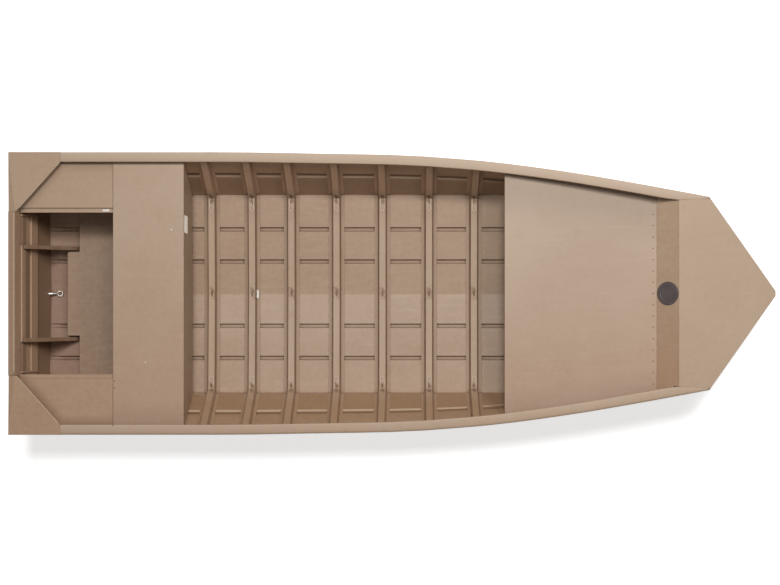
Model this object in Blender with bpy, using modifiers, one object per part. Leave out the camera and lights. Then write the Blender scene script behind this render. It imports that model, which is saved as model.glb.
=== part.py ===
"""An all-welded aluminium jon boat with a pointed, modified-V bow.

The hull is drawn as a few lines along its length: gunwale, chine and keel. Every plate, rib,
deck and extrusion takes its place from those lines. +X is the bow, +Y is port, +Z is up.
Stations are metres forward from the aft edge of the gunwales.
"""
import math

import bmesh
import bpy
from mathutils import Matrix, Vector

# Hull, in metres
LENGTH = 4.915
BEAM = 1.816
BOTTOM_WIDTH = 1.33
DEPTH = 0.52
SHEER_RISE = 0.05
SHEER_START = 2.6
SHEER_END = 4.1
TRANSOM_RAKE_RUN = 0.13
TRANSOM_RAKE_REACH = 0.60
DEADRISE = math.radians(2.5)

# Bow: the sides end at the corner, and straight deck edges run on to the tip
CORNER_STATION = 4.49
TIP_HALF_WIDTH = 0.016
BOTTOM_END_STATION = 4.885
BOTTOM_END_HEIGHT = 0.03
CHINE_RISE_START = 2.9
CHINE_RISE_POWER = 2.2
CHINE_TURN_START = 3.2
KEEL_RISE_START = 3.3
KEEL_RISE_POWER = 2.4
STRAIGHT_SIDE_END = 1.10

# Gunwale plan: (share of the way to the bow corner, share of the half beam)
GUNWALE_PLAN = (
    (0.000, 1.000),
    (0.300, 1.000),
    (0.445, 0.990),
    (0.560, 0.979),
    (0.620, 0.961),
    (0.700, 0.925),
    (0.800, 0.857),
    (0.900, 0.773),
    (1.000, 0.682),
)

# Sheet, and the clearances that welded pieces keep. The plates twist as the bow climbs,
# so some clearances open from TWIST_START on, to the full amount a TWIST_REACH later
PLATE = 0.0025
GAP = 0.0003
SEAM = 0.0010
TWIST_GAP = 0.0015
RIB_TWIST_GAP = 0.0005
TWIST_START = 1.35
TWIST_REACH = 1.10

# Pressed strakes, keel strip and chine extrusions
STRAKE_OFFSETS = (0.216, 0.432)
STRAKE_WIDTH = 0.034
STRAKE_FLAT = 0.020
STRAKE_AFT_FADE = 0.15
STRAKE_FADE_START = 3.3
STRAKE_FADE_END = 3.9
KEEL_STRIP_HEIGHT = 0.010
KEEL_STRIP_WIDTH = 0.040
KEEL_STRIP_FLAT = 0.024
CHINE_LEG = 0.030
CHINE_PLATE = 0.003
CHINE_LEG_SHARE = 0.7
CHINE_END_SETBACK = 0.10
SIDE_END_SETBACK = 0.03
SIDE_FOOT = 0.004
SIDE_BEAD_OUT = 0.006
SIDE_BEAD_END = 0.15
# Side plate from foot to top: (share of the height, share of the bead's depth)
SIDE_PROFILE = ((0.0, 0.0), (0.22, 0.0), (0.43, 0.0), (0.46, 1.0), (0.51, 1.0), (0.54, 0.0), (0.77, 0.0), (1.0, 0.0))

# Gunwale rail
RAIL_WIDTH = 0.064
RAIL_TIP_WIDTH = 0.016
RAIL_PLATE = 0.003
RAIL_OUTER_LIP = 0.034
RAIL_INNER_LIP = 0.020
RAIL_LEAST_LIP = 0.006
RAIL_ROUND = 0.010
RAIL_ROUND_SHARE = 0.3
RAIL_BEND = 0.0045
RAIL_SEAT = 0.0005
RAIL_TAPER_START = 4.27
RAIL_END_GAP = 0.003

# Ribs: stations, and the bent hat section
COCKPIT_RIBS = (1.249, 1.519, 1.783, 2.085, 2.393, 2.705, 3.006)
AFT_RIBS = (0.730, 0.980)
FORWARD_RIBS = (3.310, 3.610, 3.920)
# The aft bottom plate and the bow's two halves meet under this rib
BOW_SEAM_STATION = FORWARD_RIBS[0]
KEEL_SEAM = 0.0016
RIB_HEIGHT = 0.038
RIB_CROWN = 0.038
RIB_BASE = 0.056
RIB_FLANGE = 0.024
RIB_TOP_BELOW_GUNWALE = 0.030
RIB_TOP_CLEAR = 0.0021
RIB_DIMPLE = 0.013
RIB_DIMPLE_HALF = 0.018
RIB_DIMPLE_REACH = 0.045
RIB_DIMPLE_FLOOR_END = 0.081
RIB_DIMPLE_SIDE = 0.054
RIB_DIMPLE_SIDE_END = 0.090
RIB_CHINE_DIMPLE = 0.5

# Decks
DECK_BELOW_GUNWALE = 0.045
DECK_LIP = 0.025
SIDE_BOX_FRONT = 0.664
REAR_DECK_FRONT = 1.120
FRONT_DECK_AFT = 3.190
FRONT_DECK_FRONT = 4.173
FRONT_DECK_DROP = 0.098
FRONT_DECK_LIP = 0.038
BOW_DECK_AFT = 4.299
BULKHEAD_STEP = 0.02
BOW_DECK_FLANGE = 0.032
BOW_DECK_PLATE = 0.003
DECK_SIDE_GAP = 0.002

# Transom
BOARD_THICKNESS = 0.0325
CAP_PLATE = 0.003
CAP_OUTER_LEG = 0.045
CAP_INNER_LEG = 0.078
CAP_HALF_LENGTH = 0.527
CAP_END_GAP = 0.002
MOTOR_PLATE = (0.080, 0.119, 0.012)
STIFFENER = (0.210, 0.295, 0.010)
STIFFENER_END = 0.515
STIFFENER_POST = 0.012
KNEE_OFFSET = 0.315
KNEE_FOOT_STATION = 0.356
KNEE_FLANGE = 0.025
KNEE_BASE_FLANGE = 0.020
KNEE_BASE_END = 0.283
KNEE_TOP_WIDTH = 0.020
KNEE_TOE = 0.020
KNEE_HEAD_DROP = 0.004

# Corner gussets and side boxes
GUSSET_LENGTH = 0.332
GUSSET_INNER = 0.052
GUSSET_PLATE = 0.003
GUSSET_FACET_DROP = 0.012
GUSSET_FLANGE = 0.030
GUSSET_TOE_FLANGE = 0.012
BOX_INNER = 0.552
BOX_LEDGE = 0.030
BOX_LEDGE_DROP = 0.012

# Battery tray
TRAY_AFT = 0.369
TONGUE_AFT = 0.289
TONGUE_HALF = 0.280
TRAY_HALF = 0.540

# Fittings
DRAIN_HEIGHT = 0.028
DRAIN_TUBE_RADIUS = 0.0125
DRAIN_TUBE_BORE = 0.0100
DRAIN_FLANGE_RADIUS = 0.019
DRAIN_FLANGE = 0.003
DRAIN_TUBE_PROUD = 0.012
DRAIN_PLUG_RADIUS = 0.0095
DRAIN_PLUG_LENGTH = 0.055
DRAIN_PLUG_INSERT = 0.025
DRAIN_PLUG_COLLAR = 0.009
DRAIN_COLLAR_RADIUS = 0.0119
DRAIN_STEM_RADIUS = 0.0043
ACCESS_RADIUS = 0.076
ACCESS_COLLAR = 0.0625
ACCESS_LID = 0.0580
ACCESS_COLLAR_DEPTH = 0.012
ACCESS_HEIGHT = 0.0045
ACCESS_BEVEL = 0.003
ACCESS_LID_BELOW = 0.004
ACCESS_LID_EDGE = 0.0036
ACCESS_LID_FACE = 0.00225
ACCESS_LID_RIM = 0.004
PLAQUE_SIZE = (0.112, 0.160, 0.001)
PLAQUE_OFFSET = 0.450
PLAQUE_DROP = 0.034
BOW_EYE_STATIONS = (4.620, 4.670)
BOW_EYE_DEPTH = 0.050
BOW_EYE_PLATE = 0.008
BOW_EYE_HOLE = 0.011
BOW_EYE_STEPS = 6

# How finely the hull is drawn along its length
AFT_MARKS = 8
FORWARD_MARKS = 16
TIP_MARKS = 4

SHELL_AFT = CAP_PLATE + 0.0005
BOARD_FRONT = PLATE + GAP + BOARD_THICKNESS
EDGE_INSET = BOW_DECK_PLATE + 0.0008


def clamp(value):
    """Hold a share between 0 and 1."""
    return min(max(value, 0.0), 1.0)


def mix(a, b, share):
    """A value part of the way from a to b."""
    return a + (b - a) * share


def smooth_step(value):
    """An S-shaped share that starts and ends level."""
    value = clamp(value)
    return value * value * (3.0 - 2.0 * value)


def smooth_table(table, at):
    """A smooth curve through the rows of a two-column table."""
    rows = list(table)
    slopes = []
    for index, row in enumerate(rows):
        before = rows[max(index - 1, 0)]
        after = rows[min(index + 1, len(rows) - 1)]
        level = (after[1] - row[1]) * (row[1] - before[1]) == 0.0 and 0 < index < len(rows) - 1
        slopes.append(0.0 if level else (after[1] - before[1]) / (after[0] - before[0]))
    at = min(max(at, rows[0][0]), rows[-1][0])
    for (x0, y0), (x1, y1), m0, m1 in zip(rows, rows[1:], slopes, slopes[1:]):
        if at <= x1:
            span = x1 - x0
            t = (at - x0) / span
            curve = (2 * t**3 - 3 * t**2 + 1) * y0 + (t**3 - 2 * t**2 + t) * span * m0
            return curve + (3 * t**2 - 2 * t**3) * y1 + (t**3 - t**2) * span * m1
    return rows[-1][1]


def drawn_gunwale(s):
    """Outer half breadth of the gunwale, or of the deck's edge forward of the corner."""
    corner = BEAM / 2 * GUNWALE_PLAN[-1][1]
    if s > CORNER_STATION:
        return mix(corner, TIP_HALF_WIDTH, (s - CORNER_STATION) / (LENGTH - CORNER_STATION))
    return BEAM / 2 * smooth_table(GUNWALE_PLAN, s / CORNER_STATION)


def drawn_sheer(s):
    """Height of the gunwale's top."""
    return DEPTH + SHEER_RISE * smooth_step((s - SHEER_START) / (SHEER_END - SHEER_START))


def rim_height():
    """Height of the bottom plate's edge under the bow deck."""
    return DEPTH + SHEER_RISE - RAIL_ROUND - PLATE - SEAM


def drawn_edge(s):
    """Half breadth and height of the bottom's outer edge: the chine, then the bow's rim."""
    slope = (BEAM / 2 * GUNWALE_PLAN[-1][1] - TIP_HALF_WIDTH) / (LENGTH - CORNER_STATION)
    inset = EDGE_INSET * math.hypot(1.0, slope)
    rim = rim_height()
    if s >= CORNER_STATION:
        return drawn_gunwale(s) - inset, rim
    turn = clamp((s - CHINE_TURN_START) / (CORNER_STATION - CHINE_TURN_START))
    rise = clamp((s - CHINE_RISE_START) / (CORNER_STATION - CHINE_RISE_START))
    low = KEEL_STRIP_HEIGHT + BOTTOM_WIDTH / 2 * math.tan(DEADRISE)
    half = mix(BOTTOM_WIDTH / 2, drawn_gunwale(CORNER_STATION) - inset, turn**2)
    return half, mix(low, rim, rise**CHINE_RISE_POWER)


def drawn_keel(s):
    """Height of the bottom plate at the keel."""
    rise = clamp((s - KEEL_RISE_START) / (BOTTOM_END_STATION - KEEL_RISE_START))
    return mix(KEEL_STRIP_HEIGHT, rim_height() - BOTTOM_END_HEIGHT, rise**KEEL_RISE_POWER)


def spaced(start, end, count):
    """Even steps after start, up to and with end."""
    return [mix(start, end, step / count) for step in range(1, count + 1)]


def station_marks():
    """The stations that every plate of the hull is drawn through."""
    marks = [SHELL_AFT, STRAKE_AFT_FADE, GUSSET_LENGTH + SEAM / 2, BOW_SEAM_STATION]
    marks += spaced(STRAIGHT_SIDE_END, CHINE_RISE_START, AFT_MARKS)
    marks += spaced(CHINE_RISE_START, CORNER_STATION, FORWARD_MARKS)
    marks += [CORNER_STATION - CHINE_END_SETBACK, CORNER_STATION - SIDE_END_SETBACK]
    marks += spaced(CORNER_STATION, BOTTOM_END_STATION, TIP_MARKS)
    return sorted(marks)


MARKS = station_marks()
DRAWN = [(s, drawn_gunwale(s), drawn_sheer(s), *drawn_edge(s), drawn_keel(s)) for s in MARKS]


def hull(s):
    """Gunwale half breadth and height, edge half breadth and height, and keel height.

    The values run straight between the marks, as the faceted plates do.
    """
    for before, after in zip(DRAWN, DRAWN[1:]):
        if s <= after[0]:
            share = (s - before[0]) / (after[0] - before[0])
            return tuple(mix(a, b, share) for a, b in zip(before[1:], after[1:]))
    return DRAWN[-1][1:]


def raked(s, z):
    """Station moved forward low down, so that everything aft follows the raked transom."""
    fade = clamp(1.0 - (s - SHELL_AFT) / TRANSOM_RAKE_REACH)
    return s + TRANSOM_RAKE_RUN * fade * (DEPTH - z) / DEPTH


def at(s, y, z):
    """A point in the boat's frame from a station."""
    return Vector((s - LENGTH / 2, y, z))


def seat_line(s):
    """Half breadth and height of the side plate's top, under the rail."""
    gunwale, sheer = hull(s)[:2]
    return gunwale - RAIL_PLATE - RAIL_SEAT, sheer - RAIL_ROUND - PLATE


def section_lines(s, lift):
    """The section moved inward by lift: keel and chine points, and the side's slope.

    Sheet that climbs or narrows along the boat counts for more across it.
    """
    step = 0.02
    _, _, edge, edge_z, keel_z = hull(s)
    seat, seat_z = seat_line(s)
    _, _, edge_on, edge_z_on, keel_z_on = hull(s + step)
    seat_on, _ = seat_line(s + step)
    climb = max(abs(edge_z_on - edge_z), abs(keel_z_on - keel_z)) / step
    narrowing = max(abs(seat_on - seat), abs(edge_on - edge)) / step
    slope = (edge_z - keel_z) / edge
    flare = (seat - edge) / max(seat_z - edge_z, 0.001)
    floor_lift = lift * math.hypot(1.0, slope, climb)
    side_lift = lift * math.hypot(1.0, flare, narrowing)
    chine_z = (keel_z + floor_lift + slope * (edge - side_lift - flare * edge_z)) / (1.0 - slope * flare)
    chine_y = edge + flare * (chine_z - edge_z) - side_lift
    return keel_z + floor_lift, chine_y, chine_z, slope, flare


def floor_height(s, y, lift):
    """Height of the bottom's inner side, moved up by lift."""
    keel_z, _, _, slope, _ = section_lines(s, lift)
    return keel_z + slope * abs(y)


def side_breadth(s, z, lift):
    """Half breadth inside the side plate at a height, moved inward by lift."""
    _, chine_y, chine_z, _, flare = section_lines(s, lift)
    return chine_y + flare * (z - chine_z)


def paint(name, colour, roughness, metallic):
    """A plain finish: colour in display values from 0 to 255."""
    material = bpy.data.materials.new(name)
    material.use_nodes = True
    linear = []
    for value in colour:
        share = value / 255.0
        linear.append(share / 12.92 if share <= 0.04045 else ((share + 0.055) / 1.055) ** 2.4)
    shader = material.node_tree.nodes["Principled BSDF"]
    shader.inputs["Base Color"].default_value = (*linear, 1.0)
    shader.inputs["Roughness"].default_value = roughness
    shader.inputs["Metallic"].default_value = metallic
    material.diffuse_color = (*linear, 1.0)
    return material


def add_mesh(name, bm, material, side=1):
    """Put a mesh in the boat's collection, mirrored to starboard where side is -1."""
    if side < 0:
        bmesh.ops.transform(bm, matrix=Matrix.Scale(-1.0, 4, Vector((0, 1, 0))), verts=bm.verts)
        bmesh.ops.reverse_faces(bm, faces=bm.faces)
    mesh = bpy.data.meshes.new(name)
    bm.to_mesh(mesh)
    bm.free()
    obj = bpy.data.objects.new(name, mesh)
    bpy.data.collections["jon_boat"].objects.link(obj)
    mesh.materials.append(material)
    return obj


def thicken(obj, thickness):
    """Give an open sheet its thickness, behind its front face."""
    solid = obj.modifiers.new("sheet", "SOLIDIFY")
    solid.thickness = thickness
    solid.offset = -1.0
    solid.use_even_offset = True
    solid.use_quality_normals = True
    return obj


def sheet(name, rows, thickness, material, side=1):
    """A sheet through rows of points, thickened behind its front."""
    bm = bmesh.new()
    grid = [[bm.verts.new(point) for point in row] for row in rows]
    for row, following in zip(grid, grid[1:]):
        for column in range(len(row) - 1):
            bm.faces.new((row[column], following[column], following[column + 1], row[column + 1]))
    return thicken(add_mesh(name, bm, material, side), thickness)


def swept(name, loops, material, side=1):
    """A solid through closed loops of points, capped at both ends."""
    bm = bmesh.new()
    rings = [[bm.verts.new(point) for point in loop] for loop in loops]
    count = len(rings[0])
    for ring, following in zip(rings, rings[1:]):
        for corner in range(count):
            after = (corner + 1) % count
            bm.faces.new((ring[corner], following[corner], following[after], ring[after]))
    bm.faces.new(rings[0])
    bm.faces.new(reversed(rings[-1]))
    bmesh.ops.recalc_face_normals(bm, faces=bm.faces)
    return add_mesh(name, bm, material, side)


def folded(name, outline, folds, thickness, material, side=1):
    """A flat sheet with some edges folded back.

    folds gives, for the first corner of an edge, how far each end of that edge drops.
    """
    bm = bmesh.new()
    corners = [bm.verts.new(point) for point in outline]
    bm.faces.new(corners)
    dropped = {}
    for start, drops in folds.items():
        end = (start + 1) % len(outline)
        for corner, drop in zip((start, end), drops):
            if corner not in dropped:
                dropped[corner] = bm.verts.new(outline[corner] + drop)
        bm.faces.new((corners[end], corners[start], dropped[start], dropped[end]))
    return thicken(add_mesh(name, bm, material, side), thickness)


def turned(name, profile, segments, material):
    """A turned piece from a closed profile of (radius, height), standing on its own Z axis."""
    bm = bmesh.new()
    ring = [bm.verts.new((radius, 0.0, height)) for radius, height in profile]
    for corner in range(len(ring)):
        first, second = ring[corner], ring[(corner + 1) % len(ring)]
        if first.co.x > 0.0 or second.co.x > 0.0:
            bm.edges.new((first, second))
    obj = add_mesh(name, bm, material)
    screw = obj.modifiers.new("turn", "SCREW")
    screw.steps = segments
    screw.render_steps = segments
    screw.use_merge_vertices = True
    screw.merge_threshold = 0.0001
    return obj


def cutter(name, radius, length, segments=24):
    """A cylinder that cuts a hole, standing on its own Z axis."""
    bm = bmesh.new()
    bmesh.ops.create_cone(bm, cap_ends=True, segments=segments, radius1=radius, radius2=radius, depth=length)
    mesh = bpy.data.meshes.new(name)
    bm.to_mesh(mesh)
    bm.free()
    obj = bpy.data.objects.new(name, mesh)
    bpy.data.collections["cutters"].objects.link(obj)
    obj.hide_render = True
    obj.display_type = "WIRE"
    return obj


def cut(obj, tool):
    """Cut a tool's shape out of a piece."""
    boolean = obj.modifiers.new("cut", "BOOLEAN")
    boolean.operation = "DIFFERENCE"
    boolean.object = tool
    return obj


def strake_share(s):
    """How far the strakes are pressed: in full along the straight bottom, faded at both ends."""
    aft = clamp((s - SHELL_AFT) / (STRAKE_AFT_FADE - SHELL_AFT))
    forward = clamp((STRAKE_FADE_END - s) / (STRAKE_FADE_END - STRAKE_FADE_START))
    return aft * forward


def bottom_profile():
    """Half of the bottom from the keel out: (offset, offset that sets its height, share pressed)."""
    points = [(0.0, 0.0, 0.0)]
    for centre in STRAKE_OFFSETS:
        inner = centre - STRAKE_WIDTH / 2
        outer = centre + STRAKE_WIDTH / 2
        between = (points[-1][0] + inner) / 2
        points.append((between, between, 0.0))
        points.append((inner, inner, 0.0))
        points.append((centre - STRAKE_FLAT / 2, centre, 1.0))
        points.append((centre + STRAKE_FLAT / 2, centre, 1.0))
        points.append((outer, outer, 0.0))
    last = BOTTOM_WIDTH / 2 - SEAM / 2
    between = (points[-1][0] + last) / 2
    points.append((between, between, 0.0))
    points.append((last, last, 0.0))
    return points


def bottom_sheet(name, stations, profile, keel_gap, tan, side=1):
    """A sheet of the bottom through some stations. The profile runs from port inward."""
    half = BOTTOM_WIDTH / 2
    # The inner pair of strakes reaches down to the keel strip's level
    depth = KEEL_STRIP_HEIGHT + STRAKE_OFFSETS[0] * math.tan(DEADRISE)
    rows = []
    for s in stations:
        _, _, edge, edge_z, keel_z = hull(s)
        row = []
        for offset, level, press in profile:
            if offset == 0.0:
                offset = level = keel_gap * half / edge
            pressed = press * strake_share(s)
            level = mix(abs(offset), level, pressed)
            z = mix(keel_z, edge_z, level / half) - pressed * depth
            row.append(at(raked(s, z), offset / half * edge, z))
        rows.append(row)
    sheet(name, rows, PLATE, tan, side)


def make_bottom(tan):
    """The bottom: one shallow pressed V aft, then two halves drawn up into the pointed bow.

    The halves meet over the keel strip, and join the aft plate under a rib.
    """
    half = bottom_profile()
    port = list(reversed(half))
    starboard = [(-offset, level, press) for offset, level, press in half[1:]]
    aft = [s for s in MARKS if s < BOW_SEAM_STATION] + [BOW_SEAM_STATION - SEAM / 2]
    bow = [BOW_SEAM_STATION + SEAM / 2] + [s for s in MARKS if s > BOW_SEAM_STATION]
    bottom_sheet("hull_bottom", aft, port + starboard, 0.0, tan)
    for side, name in SIDES:
        bottom_sheet("bow_bottom_" + name, bow, port, KEEL_SEAM, tan, side)


def make_keel_strip(tan):
    """The extruded keel strip, from the transom round the stem to the bow's tip."""
    half = KEEL_STRIP_WIDTH / 2
    flat = KEEL_STRIP_FLAT / 2
    loops = []
    for s in MARKS:
        _, _, edge, edge_z, keel_z = hull(s)
        seat = 2 * GAP + TWIST_GAP * clamp((s - KEEL_RISE_START) / TWIST_REACH)
        wing = mix(keel_z, edge_z, half / edge)
        low = keel_z - KEEL_STRIP_HEIGHT
        points = ((-half, wing - seat), (0.0, keel_z - seat), (half, wing - seat), (flat, low), (-flat, low))
        loops.append([at(raked(s, z), y, z) for y, z in points])
    swept("keel_strip", loops, tan)


def make_side(side, name, tan):
    """A side plate, flared, with one pressed line along it."""
    rows = []
    for s in MARKS:
        if s > CORNER_STATION - SIDE_END_SETBACK:
            break
        _, _, edge, edge_z, _ = hull(s)
        seat, seat_z = seat_line(s)
        length = math.hypot(seat - edge, seat_z - edge_z)
        fade = clamp((length - SIDE_BEAD_END) / SIDE_BEAD_END) * SIDE_BEAD_OUT
        row = []
        for share, bead in reversed(SIDE_PROFILE):
            share = mix(SIDE_FOOT / length, 1.0, share)
            z = mix(edge_z, seat_z, share)
            row.append(at(raked(s, z), mix(edge, seat, share) + bead * fade, z))
        rows.append(row)
    sheet("side_plate_" + name, rows, PLATE, tan, side)


def make_chine(side, name, tan):
    """The corner extrusion over the seam of bottom and side."""
    loops = []
    for s in MARKS:
        if s > CORNER_STATION - CHINE_END_SETBACK:
            break
        # The plates twist where the bow climbs, so the clearance opens there
        inner = SEAM / 2 + TWIST_GAP * clamp((s - TWIST_START) / TWIST_REACH)
        outer = inner + CHINE_PLATE
        _, sheer, edge, edge_z, keel_z = hull(s)
        seat, seat_z = seat_line(s)
        bottom = Vector((-edge, keel_z - edge_z)).normalized()
        up = Vector((seat - edge, seat_z - edge_z)).normalized()
        down = Vector((-bottom.y, bottom.x))
        out = Vector((up.y, -up.x))
        mitre = (down + out) / (1.0 + down.dot(out))
        corner = Vector((edge, edge_z))
        leg = min(CHINE_LEG, CHINE_LEG_SHARE * (sheer - RAIL_OUTER_LIP - edge_z))
        points = (
            corner + bottom * leg + down * inner,
            corner + bottom * leg + down * outer,
            corner + mitre * outer,
            corner + up * leg + out * outer,
            corner + up * leg + out * inner,
            corner + mitre * inner,
        )
        loops.append([at(raked(s, point.y), point.x, point.y) for point in points])
    swept("chine_" + name, loops, tan, side)


def rail_width(s):
    """The rail runs out to the bow corner under the bow deck's slanted edge."""
    share = clamp((s - RAIL_TAPER_START) / (CORNER_STATION - RAIL_TAPER_START))
    return mix(RAIL_WIDTH, RAIL_TIP_WIDTH, share)


def make_rail(side, name, tan):
    """The gunwale extrusion: rounded top, long outer lip, short inner lip."""
    loops = []
    plate = RAIL_PLATE
    # The round is drawn with one point between its ends
    outside = RAIL_ROUND * RAIL_ROUND_SHARE
    inside = outside + plate * (1.0 - RAIL_ROUND_SHARE)
    for s in MARKS:
        if s < GUSSET_LENGTH or s > CORNER_STATION:
            continue
        s = min(s, CORNER_STATION - RAIL_END_GAP)
        gunwale, sheer = hull(s)[:2]
        width = rail_width(s)
        lip = mix(RAIL_LEAST_LIP, RAIL_INNER_LIP, (width - RAIL_TIP_WIDTH) / (RAIL_WIDTH - RAIL_TIP_WIDTH))
        # Points as (inward, down) from the rail's upper outer corner
        points = (
            (0.0, RAIL_OUTER_LIP),
            (0.0, RAIL_ROUND),
            (outside, outside),
            (RAIL_ROUND, 0.0),
            (width - plate, 0.0),
            (width, plate),
            (width, lip),
            (width - plate, lip),
            (width - plate, RAIL_BEND),
            (width - RAIL_BEND, plate),
            (RAIL_ROUND, plate),
            (inside, inside),
            (plate, RAIL_ROUND),
            (plate, RAIL_OUTER_LIP),
        )
        loops.append([at(s, gunwale - inward, sheer - down) for inward, down in points])
    swept("gunwale_" + name, loops, tan, side)


def rib_path(fine, top_z):
    """Half of a rib's path from the keel: (kind, distance, share of the dimple)."""
    if not fine:
        return [("floor", 0.0, 0.0), ("chine", 0.0, 0.0), ("top", top_z, 0.0)]
    near, far = RIB_DIMPLE_HALF, RIB_DIMPLE_REACH
    return [
        ("floor", near, 1.0),
        ("floor", far, 0.0),
        ("before chine", RIB_DIMPLE_FLOOR_END, 0.0),
        ("before chine", far, 1.0),
        ("chine", 0.0, RIB_CHINE_DIMPLE),
        ("side", RIB_DIMPLE_SIDE, 1.0),
        ("side", RIB_DIMPLE_SIDE_END, 0.0),
        ("top", top_z, 0.0),
    ]


def rib_point(s, step, lift):
    """A point on a rib, lifted inward from the hull's outer face."""
    kind, distance, _ = step
    keel_z, chine_y, chine_z, slope, flare = section_lines(s, lift)
    edge_z = hull(s)[3]
    if kind == "floor":
        return distance, keel_z + slope * distance
    if kind == "before chine":
        y = hull(s)[2] - distance
        return y, keel_z + slope * y
    if kind == "chine":
        return chine_y, chine_z
    z = edge_z + distance if kind == "side" else distance
    return chine_y + flare * (z - chine_z), z


def make_rib(name, station, top_z, seat, tan, fine):
    """A hat section bent to the hull: floor, both chines and both sides in one piece."""
    half = rib_path(fine, top_z)
    path = [(step, 1) for step in reversed(half)]
    path += [(step, -1) for step in (half if fine else half[1:])]
    crown = RIB_CROWN / 2
    base = RIB_BASE / 2
    foot = base + RIB_FLANGE
    # Hat section: (along the boat, height, share of the dimple)
    hat = [(-foot, 0.0, 0.0), (-base, 0.0, 0.0), (-crown, RIB_HEIGHT, 0.0)]
    if fine:
        hat.append((0.0, RIB_HEIGHT, 1.0))
    hat += [(crown, RIB_HEIGHT, 0.0), (base, 0.0, 0.0), (foot, 0.0, 0.0)]
    rows = []
    for along, height, dimple in hat:
        row = []
        for step, side in path:
            lift = PLATE + seat + height - dimple * step[2] * RIB_DIMPLE
            y, z = rib_point(station + along, step, lift)
            row.append(at(station + along, side * y, z))
        rows.append(row)
    sheet(name, rows, PLATE, tan)


def make_ribs(tan):
    """All ribs: the open cockpit's, and plainer ones that carry the decks."""
    for number, station in enumerate(COCKPIT_RIBS, 1):
        top_z = hull(station)[1] - RIB_TOP_BELOW_GUNWALE
        seat = GAP + RIB_TWIST_GAP * clamp((station - TWIST_START) / TWIST_REACH)
        make_rib("rib_%d" % number, station, top_z, seat, tan, True)
    for number, station in enumerate(AFT_RIBS, 1):
        make_rib("aft_rib_%d" % number, station, rear_deck_top() - PLATE - RIB_TOP_CLEAR, GAP, tan, False)
    for number, station in enumerate(FORWARD_RIBS, 1):
        make_rib("forward_rib_%d" % number, station, front_deck_top() - PLATE - RIB_TOP_CLEAR, TWIST_GAP, tan, False)


def transom_point(depth, forward, y):
    """A point on the raked transom, from its depth and the distance forward of its aft face."""
    z = DEPTH - depth
    return at(raked(SHELL_AFT, z) + forward, y, z)


def transom_outline(lift, forward):
    """The hull's section at the transom, with its top corners dropped under the gussets."""
    top = CAP_PLATE + GAP
    low = top + GUSSET_FACET_DROP + GAP
    inner = CAP_HALF_LENGTH
    keel_z, chine_y, chine_z, _, _ = section_lines(SHELL_AFT, lift)
    side = side_breadth(SHELL_AFT, DEPTH - low, lift)
    half = [(inner, top), (inner, low), (side, low), (chine_y, DEPTH - chine_z)]
    points = [transom_point(depth, forward, y) for y, depth in half]
    points.append(transom_point(DEPTH - keel_z, forward, 0.0))
    points += [transom_point(depth, forward, -y) for y, depth in reversed(half)]
    return points


def make_transom(tan):
    """Outer skin, thick board and the cap folded over both."""
    lift = PLATE + GAP
    skin = (transom_outline(lift, 0.0), transom_outline(lift, PLATE))
    hole = cutter("drain_cut", DRAIN_TUBE_RADIUS + GAP, 0.4)
    hole.location = drain_centre()
    hole.rotation_euler = (0.0, math.pi / 2, 0.0)
    cut(swept("transom_skin", skin, tan), hole)
    board = (transom_outline(lift + SEAM, PLATE + GAP), transom_outline(lift + SEAM, BOARD_FRONT))
    cut(swept("transom_board", board, tan), hole)
    aft = -SHELL_AFT
    front = BOARD_FRONT + GAP + CAP_PLATE
    # Cap section: (forward, depth)
    section = (
        (aft, CAP_OUTER_LEG),
        (aft, 0.0),
        (front, 0.0),
        (front, CAP_INNER_LEG),
        (front - CAP_PLATE, CAP_INNER_LEG),
        (front - CAP_PLATE, CAP_PLATE),
        (aft + CAP_PLATE, CAP_PLATE),
        (aft + CAP_PLATE, CAP_OUTER_LEG),
    )
    loops = []
    for y in (-CAP_HALF_LENGTH, CAP_HALF_LENGTH):
        loops.append([transom_point(depth, forward, y) for forward, depth in section])
    swept("transom_cap", loops, tan)


def transom_block(name, outline, proud, tan, side=1):
    """A flat bar on the board's front: outline of (offset, depth)."""
    loops = []
    for forward in (BOARD_FRONT + GAP, BOARD_FRONT + GAP + proud):
        loops.append([transom_point(depth, forward, y) for y, depth in outline])
    swept(name, loops, tan, side)


def make_transom_bars(tan):
    """Motor plate between the knees, and the stiffener in three lengths."""
    inside = KNEE_OFFSET - PLATE - SEAM
    top, low, proud = MOTOR_PLATE
    transom_block("motor_plate", ((-inside, top), (inside, top), (inside, low), (-inside, low)), proud, tan)
    top, low, proud = STIFFENER
    transom_block("transom_stiffener", ((-inside, top), (inside, top), (inside, low), (-inside, low)), proud, tan)
    near = KNEE_OFFSET + SEAM
    post = STIFFENER_END - STIFFENER_POST
    high = CAP_INNER_LEG + SEAM
    outline = ((near, top), (post, top), (post, high), (STIFFENER_END, high), (STIFFENER_END, low), (near, low))
    for side, name in SIDES:
        transom_block("transom_bracket_" + name, outline, proud, tan, side)


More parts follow.
